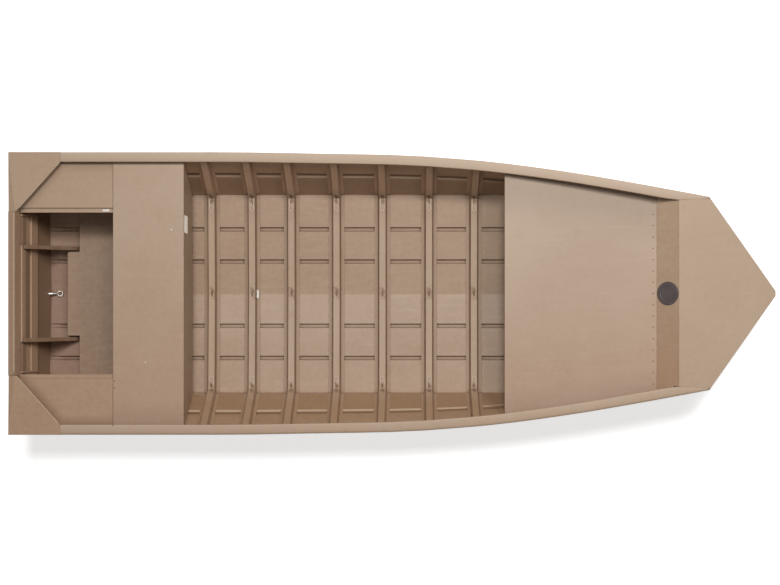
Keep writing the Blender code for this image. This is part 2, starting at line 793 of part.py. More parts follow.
def make_knees(tan):
    """Two triangular knees from the transom board to the floor, flanged along the slope and foot."""
    y = KNEE_OFFSET
    lift = PLATE + GAP
    front = BOARD_FRONT + GAP
    floor_z = floor_height(KNEE_FOOT_STATION, y - KNEE_BASE_FLANGE, lift)
    web_floor = floor_height(KNEE_FOOT_STATION, y, lift)
    head = transom_point(CAP_INNER_LEG + KNEE_HEAD_DROP, front, y)
    head.x += 2 * GAP
    heel = transom_point(DEPTH - web_floor, front, y)
    heel.x += 2 * GAP
    outline = [
        head,
        heel,
        at(KNEE_BASE_END, y, web_floor),
        at(KNEE_FOOT_STATION, y, web_floor),
        at(KNEE_FOOT_STATION, y, web_floor + KNEE_TOE),
        head + Vector((KNEE_TOP_WIDTH, 0.0, 0.0)),
    ]
    base = Vector((0.0, -KNEE_BASE_FLANGE, floor_z - web_floor))
    flange = Vector((0.0, -KNEE_FLANGE, 0.0))
    for side, name in SIDES:
        folds = {1: (base, base), 4: (flange, flange)}
        folded("knee_" + name, list(reversed_front(outline)), mirror_folds(folds, len(outline)), PLATE, tan, side)


def reversed_front(points):
    """The same outline seen from behind, from the same first corner."""
    return [points[0]] + list(reversed(points[1:]))


def mirror_folds(folds, count):
    """The folds of an outline that reversed_front has turned round."""
    return {(-start - 1) % count: (drops[1], drops[0]) for start, drops in folds.items()}


def make_gusset(side, name, tan):
    """A corner gusset: level plate, facet down to the transom cap, folded outer and inner edges."""
    half = BEAM / 2
    inner = CAP_HALF_LENGTH + CAP_END_GAP
    rail_inner = half - RAIL_WIDTH
    facet_front = BOARD_FRONT + SHELL_AFT + CAP_PLATE
    corners = {
        "toe": at(0.0, inner, DEPTH - GUSSET_FACET_DROP),
        "fold": at(facet_front, inner, DEPTH),
        "inside": at(GUSSET_INNER, inner, DEPTH),
        "forward": at(GUSSET_LENGTH, rail_inner, DEPTH),
        "rail": at(GUSSET_LENGTH, half, DEPTH),
        "corner": at(0.0, half, DEPTH),
    }
    depth = GUSSET_FLANGE + GUSSET_PLATE
    rake = TRANSOM_RAKE_RUN / DEPTH
    bm = bmesh.new()
    top = {key: bm.verts.new(point) for key, point in corners.items()}
    drops = {
        "toe": Vector((rake * depth, 0.0, -depth)),
        "corner": Vector((rake * depth, 0.0, -depth)),
        "rail": Vector((0.0, 0.0, -depth)),
        "inside": Vector((0.0, 0.0, -GUSSET_TOE_FLANGE)),
        "forward": Vector((0.0, 0.0, -GUSSET_FLANGE)),
    }
    low = {key: bm.verts.new(corners[key] + drop) for key, drop in drops.items()}
    bm.faces.new([top[key] for key in ("corner", "fold", "inside", "forward", "rail")])
    bm.faces.new([top[key] for key in ("toe", "fold", "corner")])
    for first, second in (("rail", "corner"), ("corner", "toe"), ("inside", "forward")):
        bm.faces.new((top[first], top[second], low[second], low[first]))
    bmesh.ops.recalc_face_normals(bm, faces=bm.faces)
    bm.faces.ensure_lookup_table()
    if bm.faces[0].normal.z < 0.0:
        bmesh.ops.reverse_faces(bm, faces=bm.faces)
    thicken(add_mesh("corner_gusset_" + name, bm, tan, side), GUSSET_PLATE)


def rear_deck_top():
    """Height of the rear deck and the side boxes."""
    return DEPTH - DECK_BELOW_GUNWALE


def front_deck_top():
    """Height of the front deck."""
    return DEPTH + SHEER_RISE - FRONT_DECK_DROP


def make_side_box(side, name, tan):
    """A stern side box: top, stepped ledge and inner wall as one folded sheet."""
    top = rear_deck_top()
    ledge = top - BOX_LEDGE_DROP
    lift = PLATE + GAP
    wall = BOX_INNER + PLATE
    under = top - PLATE
    foot_in = floor_height(SIDE_BOX_FRONT, BOX_INNER, lift)
    foot_out = floor_height(SIDE_BOX_FRONT, wall, lift)
    # Section: (offset, height)
    section = (
        (side_breadth(SIDE_BOX_FRONT, top, lift), top),
        (BOX_INNER, top),
        (BOX_INNER, ledge),
        (BOX_INNER - BOX_LEDGE, ledge),
        (BOX_INNER - BOX_LEDGE, ledge - PLATE),
        (BOX_INNER, ledge - PLATE),
        (BOX_INNER, foot_in),
        (wall, foot_out),
        (wall, under),
        (side_breadth(SIDE_BOX_FRONT, under, lift), under),
    )
    clear = BOARD_FRONT + CAP_PLATE + SEAM * 2
    aft = [transom_point(DEPTH - z, clear, y) for y, z in section]
    fore = [at(SIDE_BOX_FRONT - SEAM, y, z) for y, z in section]
    swept("side_box_" + name, (aft, fore), tan, side)


def make_tray(tan):
    """The raised tray on the aft ribs, with a tongue between the knees and lips to the floor."""
    lift = PLATE + GAP
    rib_top = floor_height(AFT_RIBS[0], TRAY_HALF, 2 * PLATE + GAP + RIB_HEIGHT)
    top = rib_top + PLATE + 2 * GAP
    front = REAR_DECK_FRONT - 2 * PLATE - SEAM * 2
    half = [(front, TRAY_HALF), (TRAY_AFT, TRAY_HALF), (TRAY_AFT, TONGUE_HALF), (TONGUE_AFT, TONGUE_HALF)]
    points = list(half) + [(TONGUE_AFT, 0.0)] + [(s, -y) for s, y in reversed(half)]
    outline = [at(s, y, top) for s, y in points]
    drops = [Vector((0.0, 0.0, floor_height(TRAY_AFT, y, lift + GAP) - top)) for _, y in points]
    folds = {start: (drops[start], drops[start + 1]) for start in range(1, len(points) - 2)}
    folded("battery_tray", outline, folds, PLATE, tan)


def deck_row(s, z, clearance):
    """A row of two points across the boat between the side plates."""
    half = side_breadth(s, z, PLATE + clearance)
    return [at(s, -half, z), at(s, half, z)]


def make_rear_deck(tan):
    """The rear deck, lipped fore and aft, and the bulkhead under its forward edge."""
    top = rear_deck_top()
    low = top - DECK_LIP
    aft = SIDE_BOX_FRONT + SEAM
    rows = []
    for s, z in ((aft, low), (aft, top), (REAR_DECK_FRONT, top), (REAR_DECK_FRONT, low)):
        rows.append(deck_row(s, z, GAP + SEAM))
    sheet("rear_deck", rows, PLATE, tan)

    lift = PLATE + GAP
    face = REAR_DECK_FRONT - PLATE - GAP
    under = top - PLATE - GAP
    keel_z, chine_y, chine_z, _, _ = section_lines(face, lift)
    side = side_breadth(face, under, lift)
    outline = [(side, under), (-side, under), (-chine_y, chine_z), (0.0, keel_z), (chine_y, chine_z)]
    loops = [[at(s, y, z) for y, z in outline] for s in (face - PLATE, face)]
    swept("rear_bulkhead", loops, tan)


def make_front_deck(tan):
    """The front deck, open beneath, with a deep lip along its aft edge."""
    top = front_deck_top()
    low = top - FRONT_DECK_LIP
    stations = [FRONT_DECK_AFT] + [s for s in MARKS if FRONT_DECK_AFT < s < FRONT_DECK_FRONT]
    rows = [deck_row(FRONT_DECK_AFT, low, DECK_SIDE_GAP)]
    rows += [deck_row(s, top, DECK_SIDE_GAP) for s in stations + [FRONT_DECK_FRONT]]
    sheet("front_deck", rows, PLATE, tan)


def bow_slope():
    """Foot and head of the sloped bow bulkhead: (station, height)."""
    foot = (FRONT_DECK_FRONT - PLATE, front_deck_top() + PLATE)
    head = (BOW_DECK_AFT, DEPTH + SHEER_RISE - BOW_DECK_PLATE - 2 * GAP)
    return foot, head


def bow_slope_angle():
    """Pitch of the bow bulkhead from level."""
    foot, head = bow_slope()
    return math.atan2(head[1] - foot[1], head[0] - foot[0])


def make_bow_bulkhead(tan, dark):
    """The sloped panel between the decks, with the screw-out deck plate in it."""
    foot, head = bow_slope()
    # The panel is narrowed above the share where it passes inside the rails' inner lips
    lip = (DEPTH + SHEER_RISE - RAIL_INNER_LIP - PLATE - 2 * SEAM - foot[1]) / (head[1] - foot[1])
    rows = []
    for share, inside_rail in ((0.0, False), (lip - BULKHEAD_STEP, False), (lip, True), (1.0, True)):
        s, z = mix(foot[0], head[0], share), mix(foot[1], head[1], share)
        half = side_breadth(s, z, PLATE + DECK_SIDE_GAP)
        if inside_rail:
            half = hull(s)[0] - rail_width(s) - DECK_SIDE_GAP
        rows.append([at(s, -half, z), at(s, half, z)])
    panel = sheet("bow_bulkhead", rows, PLATE, tan)

    centre = at(mix(foot[0], head[0], 0.5), 0.0, mix(foot[1], head[1], 0.5))
    turn = (0.0, -bow_slope_angle(), 0.0)
    hole = cutter("access_cut", ACCESS_COLLAR + SEAM, 0.06, 32)
    hole.location = centre
    hole.rotation_euler = turn
    cut(panel, hole)

    height = ACCESS_HEIGHT
    bore = ACCESS_LID + SEAM / 2
    ring = (
        (bore, -ACCESS_COLLAR_DEPTH),
        (ACCESS_COLLAR, -ACCESS_COLLAR_DEPTH),
        (ACCESS_COLLAR, GAP),
        (ACCESS_RADIUS, GAP),
        (ACCESS_RADIUS, height - ACCESS_BEVEL / 2),
        (ACCESS_RADIUS - ACCESS_BEVEL, height),
        (bore, height),
    )
    lid = (
        (0.0, -ACCESS_LID_BELOW),
        (ACCESS_LID, -ACCESS_LID_BELOW),
        (ACCESS_LID, ACCESS_LID_EDGE),
        (ACCESS_LID - ACCESS_LID_RIM, height),
        (ACCESS_LID - 2 * ACCESS_LID_RIM, ACCESS_LID_FACE),
        (0.0, ACCESS_LID_FACE),
    )
    for name, profile in (("deck_plate_ring", ring), ("deck_plate_lid", lid)):
        piece = turned(name, list(reversed(profile)), 28, dark)
        piece.location = centre
        piece.rotation_euler = turn


def make_bow_deck(tan):
    """The arrow-shaped bow deck, with its rim folded down outside the bottom plate."""
    top = DEPTH + SHEER_RISE
    gunwale = drawn_gunwale(CORNER_STATION)
    nose = CORNER_STATION + SEAM
    aft = BOW_DECK_AFT - SEAM
    stations = [aft] + [s for s in MARKS if aft < s < CORNER_STATION] + [CORNER_STATION]
    beside_rail = [(s, hull(s)[0] - rail_width(s) - SEAM) for s in stations]
    half = beside_rail + [(nose, beside_rail[-1][1]), (nose, gunwale), (LENGTH, TIP_HALF_WIDTH)]
    outline = [at(s, -y, top) for s, y in half] + [at(s, y, top) for s, y in reversed(half)]
    rim = Vector((0.0, 0.0, -BOW_DECK_FLANGE))
    first = len(half) - 2
    folds = {first + edge: (rim, rim) for edge in range(3)}
    folded("bow_deck", outline, folds, BOW_DECK_PLATE, tan)


def drain_centre():
    """Where the drain's axis crosses the transom's aft face."""
    z = floor_height(SHELL_AFT, 0.0, PLATE) + DRAIN_HEIGHT
    return transom_point(DEPTH - z, 0.0, 0.0)


def make_drain(metal):
    """The drain tube through the transom, and its plug."""
    centre = drain_centre()
    back = -DRAIN_TUBE_PROUD
    front = BOARD_FRONT + DRAIN_TUBE_PROUD
    tube = (
        (DRAIN_TUBE_BORE, front),
        (DRAIN_TUBE_RADIUS, front),
        (DRAIN_TUBE_RADIUS, back + DRAIN_FLANGE),
        (DRAIN_FLANGE_RADIUS, back + DRAIN_FLANGE),
        (DRAIN_FLANGE_RADIUS, back),
        (DRAIN_TUBE_BORE, back),
    )
    piece = turned("drain_tube", tube, 16, metal)
    piece.location = centre
    piece.rotation_euler = (0.0, math.pi / 2, 0.0)

    start = front - DRAIN_PLUG_INSERT
    collar = front + DRAIN_PLUG_COLLAR
    end = start + DRAIN_PLUG_LENGTH
    plug = (
        (0.0, end),
        (DRAIN_STEM_RADIUS, end),
        (DRAIN_STEM_RADIUS, collar + SEAM),
        (DRAIN_COLLAR_RADIUS, collar),
        (DRAIN_COLLAR_RADIUS, front + 2 * GAP),
        (DRAIN_PLUG_RADIUS, front + 2 * GAP),
        (DRAIN_PLUG_RADIUS, start),
        (0.0, start),
    )
    stem = turned("drain_plug", plug, 12, metal)
    stem.location = centre
    stem.rotation_euler = (0.0, math.pi / 2, 0.0)


def make_plaque(plate):
    """A blank plate on the forward face of the rear bulkhead."""
    width, height, thickness = PLAQUE_SIZE
    bm = bmesh.new()
    bmesh.ops.create_cube(bm, size=1.0)
    bmesh.ops.scale(bm, vec=(thickness, width, height), verts=bm.verts)
    obj = add_mesh("capacity_plate", bm, plate)
    face = REAR_DECK_FRONT - PLATE
    obj.location = at(face + thickness / 2, PLAQUE_OFFSET, rear_deck_top() - PLAQUE_DROP - height / 2)


def make_bow_eye(metal):
    """A lug with a hole under the stem, for the winch strap."""
    first, last = BOW_EYE_STATIONS
    heights = [hull(s)[4] - KEEL_STRIP_HEIGHT - 2 * GAP for s in BOW_EYE_STATIONS]
    middle = (first + last) / 2
    low = (heights[0] + heights[1]) / 2 - BOW_EYE_DEPTH
    reach = (last - first) / 2
    points = [(first, heights[0])]
    for step in range(BOW_EYE_STEPS + 1):
        angle = math.pi + math.pi * step / BOW_EYE_STEPS
        points.append((middle + reach * math.cos(angle), low + reach + reach * math.sin(angle)))
    points.append((last, heights[1]))
    loops = [[at(s, y, z) for s, z in points] for y in (-BOW_EYE_PLATE / 2, BOW_EYE_PLATE / 2)]
    lug = swept("bow_eye", loops, metal)
    hole = cutter("bow_eye_cut", BOW_EYE_HOLE, 0.05, 16)
    hole.location = at(middle, 0.0, low + reach)
    hole.rotation_euler = (math.pi / 2, 0.0, 0.0)
    cut(lug, hole)


SIDES = ((1, "port"), (-1, "starboard"))


def clear_scene():
    """Start from an empty scene with two collections."""
    for obj in list(bpy.data.objects):
        bpy.data.objects.remove(obj, do_unlink=True)
    for name in ("jon_boat", "cutters"):
        collection = bpy.data.collections.new(name)
        bpy.context.scene.collection.children.link(collection)


def main():
    """Build the boat."""
    clear_scene()
    tan = paint("tan_paint", (180, 156, 132), 0.55, 0.0)
    dark = paint("dark_plastic", (84, 74, 74), 0.5, 0.0)
    metal = paint("bright_metal", (176, 172, 166), 0.35, 1.0)
    plate = paint("blank_plate", (200, 180, 160), 0.4, 0.0)

    make_bottom(tan)
    make_keel_strip(tan)
    for side, name in SIDES:
        make_side(side, name, tan)
        make_chine(side, name, tan)
        make_rail(side, name, tan)
        make_gusset(side, name, tan)
        make_side_box(side, name, tan)
    make_ribs(tan)
    make_transom(tan)
    make_transom_bars(tan)
    make_knees(tan)
    make_tray(tan)
    make_rear_deck(tan)
    make_front_deck(tan)
    make_bow_bulkhead(tan, dark)
    make_bow_deck(tan)
    make_drain(metal)
    make_plaque(plate)
    make_bow_eye(metal)


main()
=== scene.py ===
"""Looks for the jon boat: paint, welds, rivets, fittings, floor, light and camera.

Metres, +X is the bow, +Y is port, +Z is up. Every piece is built in place, in the boat's frame.
"""

import math

import bmesh
import bpy
from mathutils import Matrix, Vector
from mathutils.bvhtree import BVHTree
from mathutils.noise import noise


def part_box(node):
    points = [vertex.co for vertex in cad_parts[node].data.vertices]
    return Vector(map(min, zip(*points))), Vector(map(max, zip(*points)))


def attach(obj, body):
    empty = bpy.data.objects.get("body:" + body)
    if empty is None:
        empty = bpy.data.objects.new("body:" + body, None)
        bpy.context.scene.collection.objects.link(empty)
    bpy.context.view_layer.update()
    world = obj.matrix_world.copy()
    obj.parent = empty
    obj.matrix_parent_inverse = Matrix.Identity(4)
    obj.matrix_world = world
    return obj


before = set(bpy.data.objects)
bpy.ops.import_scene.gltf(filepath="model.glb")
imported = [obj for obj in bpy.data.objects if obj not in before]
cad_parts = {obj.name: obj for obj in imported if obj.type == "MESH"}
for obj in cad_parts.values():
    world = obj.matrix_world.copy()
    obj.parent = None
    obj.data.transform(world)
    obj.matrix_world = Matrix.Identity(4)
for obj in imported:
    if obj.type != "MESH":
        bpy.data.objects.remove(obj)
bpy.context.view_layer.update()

# Display colours, 0 to 255
TAN = (183, 158, 134)
TAN_SHADE = (174, 147, 121)
RAIL_TAN = (187, 163, 139)
INNER_TAN = (178, 152, 127)
INNER_SHADE = (168, 141, 115)
FRONT_TAN = (184, 161, 139)
FRONT_SHADE = (175, 150, 126)
# Darker copies of the tan, as painted shade: the stern's pieces, the cap, the well's tray, the bow bulkhead
STERN_TAN = (184, 150, 120)
STERN_SHADE = (174, 140, 110)
CAP_TAN = (180, 146, 116)
CAP_SHADE = (170, 136, 107)
TRAY_TAN = (160, 132, 108)
TRAY_SHADE = (150, 122, 98)
SLOPE_TAN = (176, 149, 123)
SLOPE_SHADE = (168, 140, 114)
# Pale tan for a painted highlight on the lower flank of the side plates' pressed line
LINE_HIGHLIGHT_TAN = (226, 203, 177)
# Darker copies of the tan, as painted shade: the side plates, and the stern's boxes and gussets
SIDE_TAN = (174, 142, 113)
SIDE_SHADE = (164, 131, 103)
QUARTER_TAN = (178, 150, 124)
QUARTER_SHADE = (169, 140, 113)
# Pale tans for painted highlights: rib folds' ridges, the rails' port edge, the starboard gusset's hem
HIGHLIGHT_TAN = (218, 198, 176)
HEM_HIGHLIGHT_TAN = (206, 180, 153)
TAN_DUST = (193, 172, 151)
TAN_WORN = (204, 188, 170)
# Grime tan, also used for painted shade on the cap's top and in the shade patches
GRIME_AND_SHADE_TAN = (136, 108, 84)
# Dark tan for dirt, also painted shade in corners, on flanks, in recesses and in the pressed line
DIRT_AND_SHADE_TAN = (104, 78, 58)
# A darker copy of the tan, as painted shade on the transom's knees
KNEE_TAN = (139, 108, 83)
KNEE_SHADE = (130, 100, 76)
FLOOR_TAN = (172, 145, 121)
FLOOR_SHADE = (162, 134, 110)
RIVET_TAN = (150, 123, 100)
DARK_PLASTIC = (65, 55, 55)
DARK_PLASTIC_DUST = (92, 81, 79)
BRIGHT_METAL = (232, 230, 226)
BRIGHT_METAL_DULL = (196, 192, 186)
GREY_METAL = (150, 145, 140)
GREY_METAL_DULL = (118, 112, 106)
PLATE_METAL = (255, 250, 242)
PLATE_METAL_DULL = (246, 240, 230)
LABEL_WHITE = (236, 233, 226)
LABEL_SHADE = (216, 211, 202)
FLOOR_WHITE = (244, 244, 243)
FLOOR_WHITE_SHADE = (240, 240, 239)

# Half a rib's width over its flanges, and the middles of the cockpit's ribs along the boat
RIB_FLANGE_EDGE = 0.052
RIB_CENTRES = [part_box(f"rib_{number}")[1].x - RIB_FLANGE_EDGE for number in range(1, 8)]
# Stitch welds beside a rib: their distances from the keel, half their length, their distance from the
# flange's edge, their height over the surface, and their radius
STITCH_PLACES = (0.05, 0.15, 0.27, 0.37, 0.50, 0.60)
STITCH_HALF = 0.013
STITCH_GAP = 0.0006
STITCH_LIFT = 0.0008
STITCH_RADIUS = 0.0026
# The crushed metal at a rib's bend: how far out from the keel it reaches, and half its width
FOLD_TOP = 0.636
FOLD_HALF = 0.0115
# Radius of the ridge at a bend, and of the smaller one over the keel, and the radii along a crease
RIDGE_RADIUS = 0.0030
KEEL_RIDGE_RADIUS = 0.0026
CREASE_RADII = [0.0022, 0.0030, 0.0028, 0.0022, 0.0012]
# A painted shade film's height over the surface, and the corners round its edge
FILM_LIFT = 0.0003
FILM_CORNERS = 12
# Rivets at the front deck's forward edge: how many, how far from the edge, and the row's half length
DECK_RIVETS = 17
DECK_RIVET_INSET = 0.0255
DECK_RIVET_REACH = 0.583
# The blank plate's rivets, from its edges
PLATE_RIVET_INSET = 0.007
# Places of small screws seen from above, (x, y): bright ones on the rear deck, and dark ones at its joint
DECK_SCREWS = ((-1.4175, 0.411), (-1.5835, -0.445))
JOINT_SCREWS = ((-1.7845, -0.564), (-1.7845, -0.609), (-1.7845, -0.847))
# The deck plate's ring of screws: its radius, and how many there are
RING_SCREWS_RADIUS = 0.068
RING_SCREWS = 6
# Radius and height of each kind of small head
DECK_RIVET = (0.0050, 0.0020)
PLATE_RIVET = (0.0028, 0.0012)
DECK_SCREW = (0.0036, 0.0014)
JOINT_SCREW = (0.0040, 0.0014)
RING_SCREW = (0.0032, 0.0011)
# Height from which small pieces are dropped onto the boat
DROP_HEIGHT = 0.56
# How far over the deck plate a line starts, that finds its surface
PLATE_REACH = 0.05
# The deck plate's lid: radius and wire of its thin rings, and its grips' distance from the middle,
# half length, height over the lid, and radii
LID_RINGS = ((0.0465, 0.0007), (0.030, 0.0006))
GRIP_OUT = 0.036
GRIP_HALF = 0.010
GRIP_LIFT = 0.0004
GRIP_RADII = [0.0016, 0.0022, 0.0016]
# The drain plug's eye and pull ring: radius, wire and the place of the middle from the plug's tip
DRAIN_EYE = (0.0075, 0.0024)
DRAIN_EYE_PLACE = Vector((0.0065, 0.0, 0.0))
PULL_RING = (0.0165, 0.0026)
PULL_RING_PLACE = Vector((0.0285, 0.001, -0.0035))
PULL_RING_TILT = math.radians(12.0)
# The grooved collars on the plug's stem: how many, where the first is, their pitch and their profile
COLLARS = 3
COLLAR_START = -0.014
COLLAR_PITCH = 0.0036
COLLAR_PROFILE = ((0.0052, -0.0012), (0.0060, 0.0), (0.0052, 0.0012))
# Blank labels seen from above: x, y, half their size along and across
LABELS = ((-1.8405, 0.537, 0.021, 0.0068), (-0.9035, -0.002, 0.0062, 0.027))
# A label's cells each way, and the heights of its two faces over the surface
LABEL_STEPS = 6
LABEL_LEVELS = (0.0003, 0.00005)
# Ends of a bead or hem on a corner gusset: ahead of its aft end, inboard of its outer side, below its top
RAIL_BEAD = ((0.3322, 0.062, 0.0003), (0.3322, 0.008, 0.0003))
FACET_BEAD = ((0.0015, 0.380, 0.0115), (0.0455, 0.380, 0.0005))
GUSSET_HEM = ((0.054, 0.3745, 0.002), (0.330, 0.0655, 0.002))
# Radii of the beads across the rails and down the facets beside the transom's cap
RAIL_BEAD_RADIUS = 0.0014
FACET_BEAD_RADIUS = 0.0016
# Radius and ripple pitch of the beads up the transom's corners and along the chines
CORNER_BEAD = (0.0036, 0.006)
CHINE_BEAD = (0.0030, 0.009)
# The ends of the bead up the transom's port corner, and the x range of the points between them
CORNER_BEAD_TOP = Vector((-2.4472, 0.8969, 0.4930))
CORNER_BEAD_FOOT = Vector((-2.3390, 0.6730, 0.0620))
CORNER_SPAN = (-2.44, -2.35)
# The port seam beside the bow deck, (x, y), and its depth below the deck
BOW_SEAM = ((1.842, 0.5975), (1.933, 0.6005), (2.003, 0.6027), (2.031, 0.6037))
BOW_SEAM_DEPTH = 0.0018
# The cap's hem: ahead of the cap's aft face, in from its end, below its top
CAP_HEM = (0.035, 0.003, 0.001)
# Radii of seams and hems
SEAM_RADIUS = 0.0024
CAP_HEM_RADIUS = 0.0052
GUSSET_HEM_RADIUS = 0.0034

# Heights of the side plates' pressed line: its lower flank, with a painted highlight, and its upper part,
# with painted shade
SIDE_LINE_LIT = (0.2425, 0.2565)
SIDE_LINE_DARK = (0.2585, 0.2920)
# Where a painted shadow darkens a deck towards the rails: its half width at x = 0 and its change with x,
# a shift to one side, and the distances from the rail where the shadow starts and is full
FRONT_RAILS = (0.9155, -0.1577, -0.08, 0.27, 0.05)
REAR_RAILS = (0.844, 0.0, 0.12, 0.03, -0.11)
# Half the length over which a rail's middles are measured, and how many there are
RAIL_SPAN = 2.5
RAIL_STATIONS = 15
# Distances to port of the keel where the ribs' painted light and shade change: on the floor,
# and up either side
RIB_FLOOR_PORT = (0.45, 0.55)
RIB_CLIMB_PORT = (0.64, 0.70)
RIB_CLIMB_STARBOARD = (-0.62, -0.72)
# How much the bottom rises for each metre from the keel
BOTTOM_RISE = 0.0437
# A gusset's slanted edge, where x times the first less |y| times the second plus the third is 0
GUSSET_EDGE = (0.746, 0.666, 2.148)
# Heights of painted shade on the transom's inner side: low down, the slot between the knees, and the
# recess beside them. Last comes the distance from the keel at which the knees stand.
LOW_SHADE = (0.238, 0.222)
SLOT_FOOT = (0.310, 0.314)
SLOT_TOP = (0.364, 0.358)
RECESS_FOOT = (0.358, 0.364)
RECESS_TOP = (0.407, 0.402)
KNEES_BESIDE = (0.300, 0.302)

# The key light's tilt to port of straight down, its strength and its softness
KEY_TILT = math.radians(20.0)
KEY_STRENGTH = 0.92
KEY_ANGLE = math.radians(9.0)
# Soft boxes: name, place, aim, watts
SOFT_BOXES = (
    ("stern_lamp", (-2.2, 2.1, 6.0), (-2.0, 0.1, 0.4), 38.0),
    ("middle_lamp", (0.1, 2.1, 6.0), (0.1, 0.1, 0.4), 75.0),
    ("bow_lamp", (2.7, 2.1, 6.0), (2.4, 0.1, 0.4), 117.0),
)
SOFT_BOX_SIZE = 1.6
# The world's strength on surfaces, and as the camera and reflections see it
WORLD_LIGHT = 0.12
WORLD_SEEN = 1.0
# The floor's own glow, as the camera and reflections see it
FLOOR_GLOW = 0.66
# The camera's place above the boat
CAMERA_PLACE = (0.1535, -0.042, 11.02)

AHEAD = Vector((1.0, 0.0, 0.0))
TO_PORT = Vector((0.0, 1.0, 0.0))
UP = Vector((0.0, 0.0, 1.0))


def linear(colour):
    """A display colour as scene-linear values."""
    shares = [value / 255.0 for value in colour]
    return [c / 12.92 if c <= 0.04045 else ((c + 0.055) / 1.055) ** 2.4 for c in shares]


class Tree:
    """Short calls for building a tree of nodes."""

    def __init__(self, tree):
        self.tree = tree

    def add(self, kind, **settings):
        node = self.tree.nodes.new(kind)
        for key, value in settings.items():
            setattr(node, key, value)
        return node

    def link(self, output, target):
        self.tree.links.new(output, target)

    def maths(self, operation, first, second=0.0):
        """A sum of one or two values, each an output or a number."""
        node = self.add("ShaderNodeMath", operation=operation)
        for socket, value in zip(node.inputs, (first, second)):
            if isinstance(value, (int, float)):
                socket.default_value = value
            else:
                self.link(value, socket)
        return node.outputs[0]

    def times(self, first, second):
        return self.maths("MULTIPLY", first, second)

    def seen(self):
        """One for what the camera sees, also in reflections and through clear material, else nothing."""
        rays = self.add("ShaderNodeLightPath").outputs
        seen = self.maths("MAXIMUM", rays["Is Camera Ray"], rays["Is Glossy Ray"])
        return self.maths("MAXIMUM", seen, rays["Is Transmission Ray"])


class Nodes(Tree):
    """Short calls for building one material's nodes."""

    def __init__(self, name):
        self.material = bpy.data.materials.new(name)
        self.material.use_nodes = True
        super().__init__(self.material.node_tree)
        self.shader = self.tree.nodes["Principled BSDF"]
        self.place = self.add("ShaderNodeTexCoord").outputs["Object"]

    def colour(self, value):
        node = self.add("ShaderNodeRGB")
        node.outputs[0].default_value = (*linear(value), 1.0)
        return node.outputs[0]

    def stretched(self, scale):
        """The object's coordinates, scaled by axis."""
        node = self.add("ShaderNodeMapping")
        node.inputs["Scale"].default_value = scale
        self.link(self.place, node.inputs["Vector"])
        return node.outputs["Vector"]

    def noise(self, scale, detail=2.0, roughness=0.5, place=None):
        """Noise, with its scale in cycles a metre."""
        node = self.add("ShaderNodeTexNoise")
        node.inputs["Scale"].default_value = scale
        node.inputs["Detail"].default_value = detail
        node.inputs["Roughness"].default_value = roughness
        self.link(place or self.place, node.inputs["Vector"])
        return node.outputs["Fac"]

    def band(self, value, low, high, to_low=0.0, to_high=1.0):
        """A value's range between low and high, moved to another range."""
        node = self.add("ShaderNodeMapRange", clamp=True)
        for key, number in (("From Min", low), ("From Max", high), ("To Min", to_low), ("To Max", to_high)):
            node.inputs[key].default_value = number
        self.link(value, node.inputs["Value"])
        return node.outputs["Result"]

    def mix(self, share, first, second):
        """A colour part of the way between two colours."""
        node = self.add("ShaderNodeMix", data_type="RGBA")
        self.link(share, node.inputs["Factor"])
        self.link(first, node.inputs["A"])
        self.link(second, node.inputs["B"])
        return node.outputs["Result"]

    def toned(self, share, colour, ratio):
        """A colour moved towards itself times a ratio of display values."""
        node = self.add("ShaderNodeVectorMath", operation="MULTIPLY")
        self.link(colour, node.inputs[0])
        node.inputs[1].default_value = [value ** 2.2 for value in ratio]
        return self.mix(share, colour, node.outputs["Vector"])

    def spot(self):
        """The point's place in the boat's frame, by axis."""
        node = self.add("ShaderNodeSeparateXYZ")
        self.link(self.place, node.inputs["Vector"])
        return node.outputs

    def facing(self, vector=None):
        """A normal by axis: the surface's own, or the one given."""
        node = self.add("ShaderNodeSeparateXYZ")
        self.link(vector or self.add("ShaderNodeTexCoord").outputs["Normal"], node.inputs["Vector"])
        return node.outputs

    def edges(self, radius):
        """Rounded normals, and how near a point is to a sharp edge."""
        bevel = self.add("ShaderNodeBevel", samples=6)
        bevel.inputs["Radius"].default_value = radius
        geometry = self.add("ShaderNodeNewGeometry")
        dot = self.add("ShaderNodeVectorMath", operation="DOT_PRODUCT")
        self.link(bevel.outputs["Normal"], dot.inputs[0])
        self.link(geometry.outputs["Normal"], dot.inputs[1])
        return bevel.outputs["Normal"], self.band(dot.outputs["Value"], 0.97, 0.80)

    def corners(self, reach):
        """How deep in a corner a point is, with other surfaces within reach."""
        node = self.add("ShaderNodeAmbientOcclusion", samples=6)
        node.inputs["Distance"].default_value = reach
        return self.band(node.outputs["AO"], 0.82, 0.34)

    def bump(self, height, distance, strength, normal=None):
        node = self.add("ShaderNodeBump")
        node.inputs["Distance"].default_value = distance
        node.inputs["Strength"].default_value = strength
        self.link(height, node.inputs["Height"])
        if normal is not None:
            self.link(normal, node.inputs["Normal"])
        return node.outputs["Normal"]

    def finish(self, colour, roughness, normal):
        self.link(colour, self.shader.inputs["Base Color"])
        self.link(roughness, self.shader.inputs["Roughness"])
        self.link(normal, self.shader.inputs["Normal"])
        return self.material


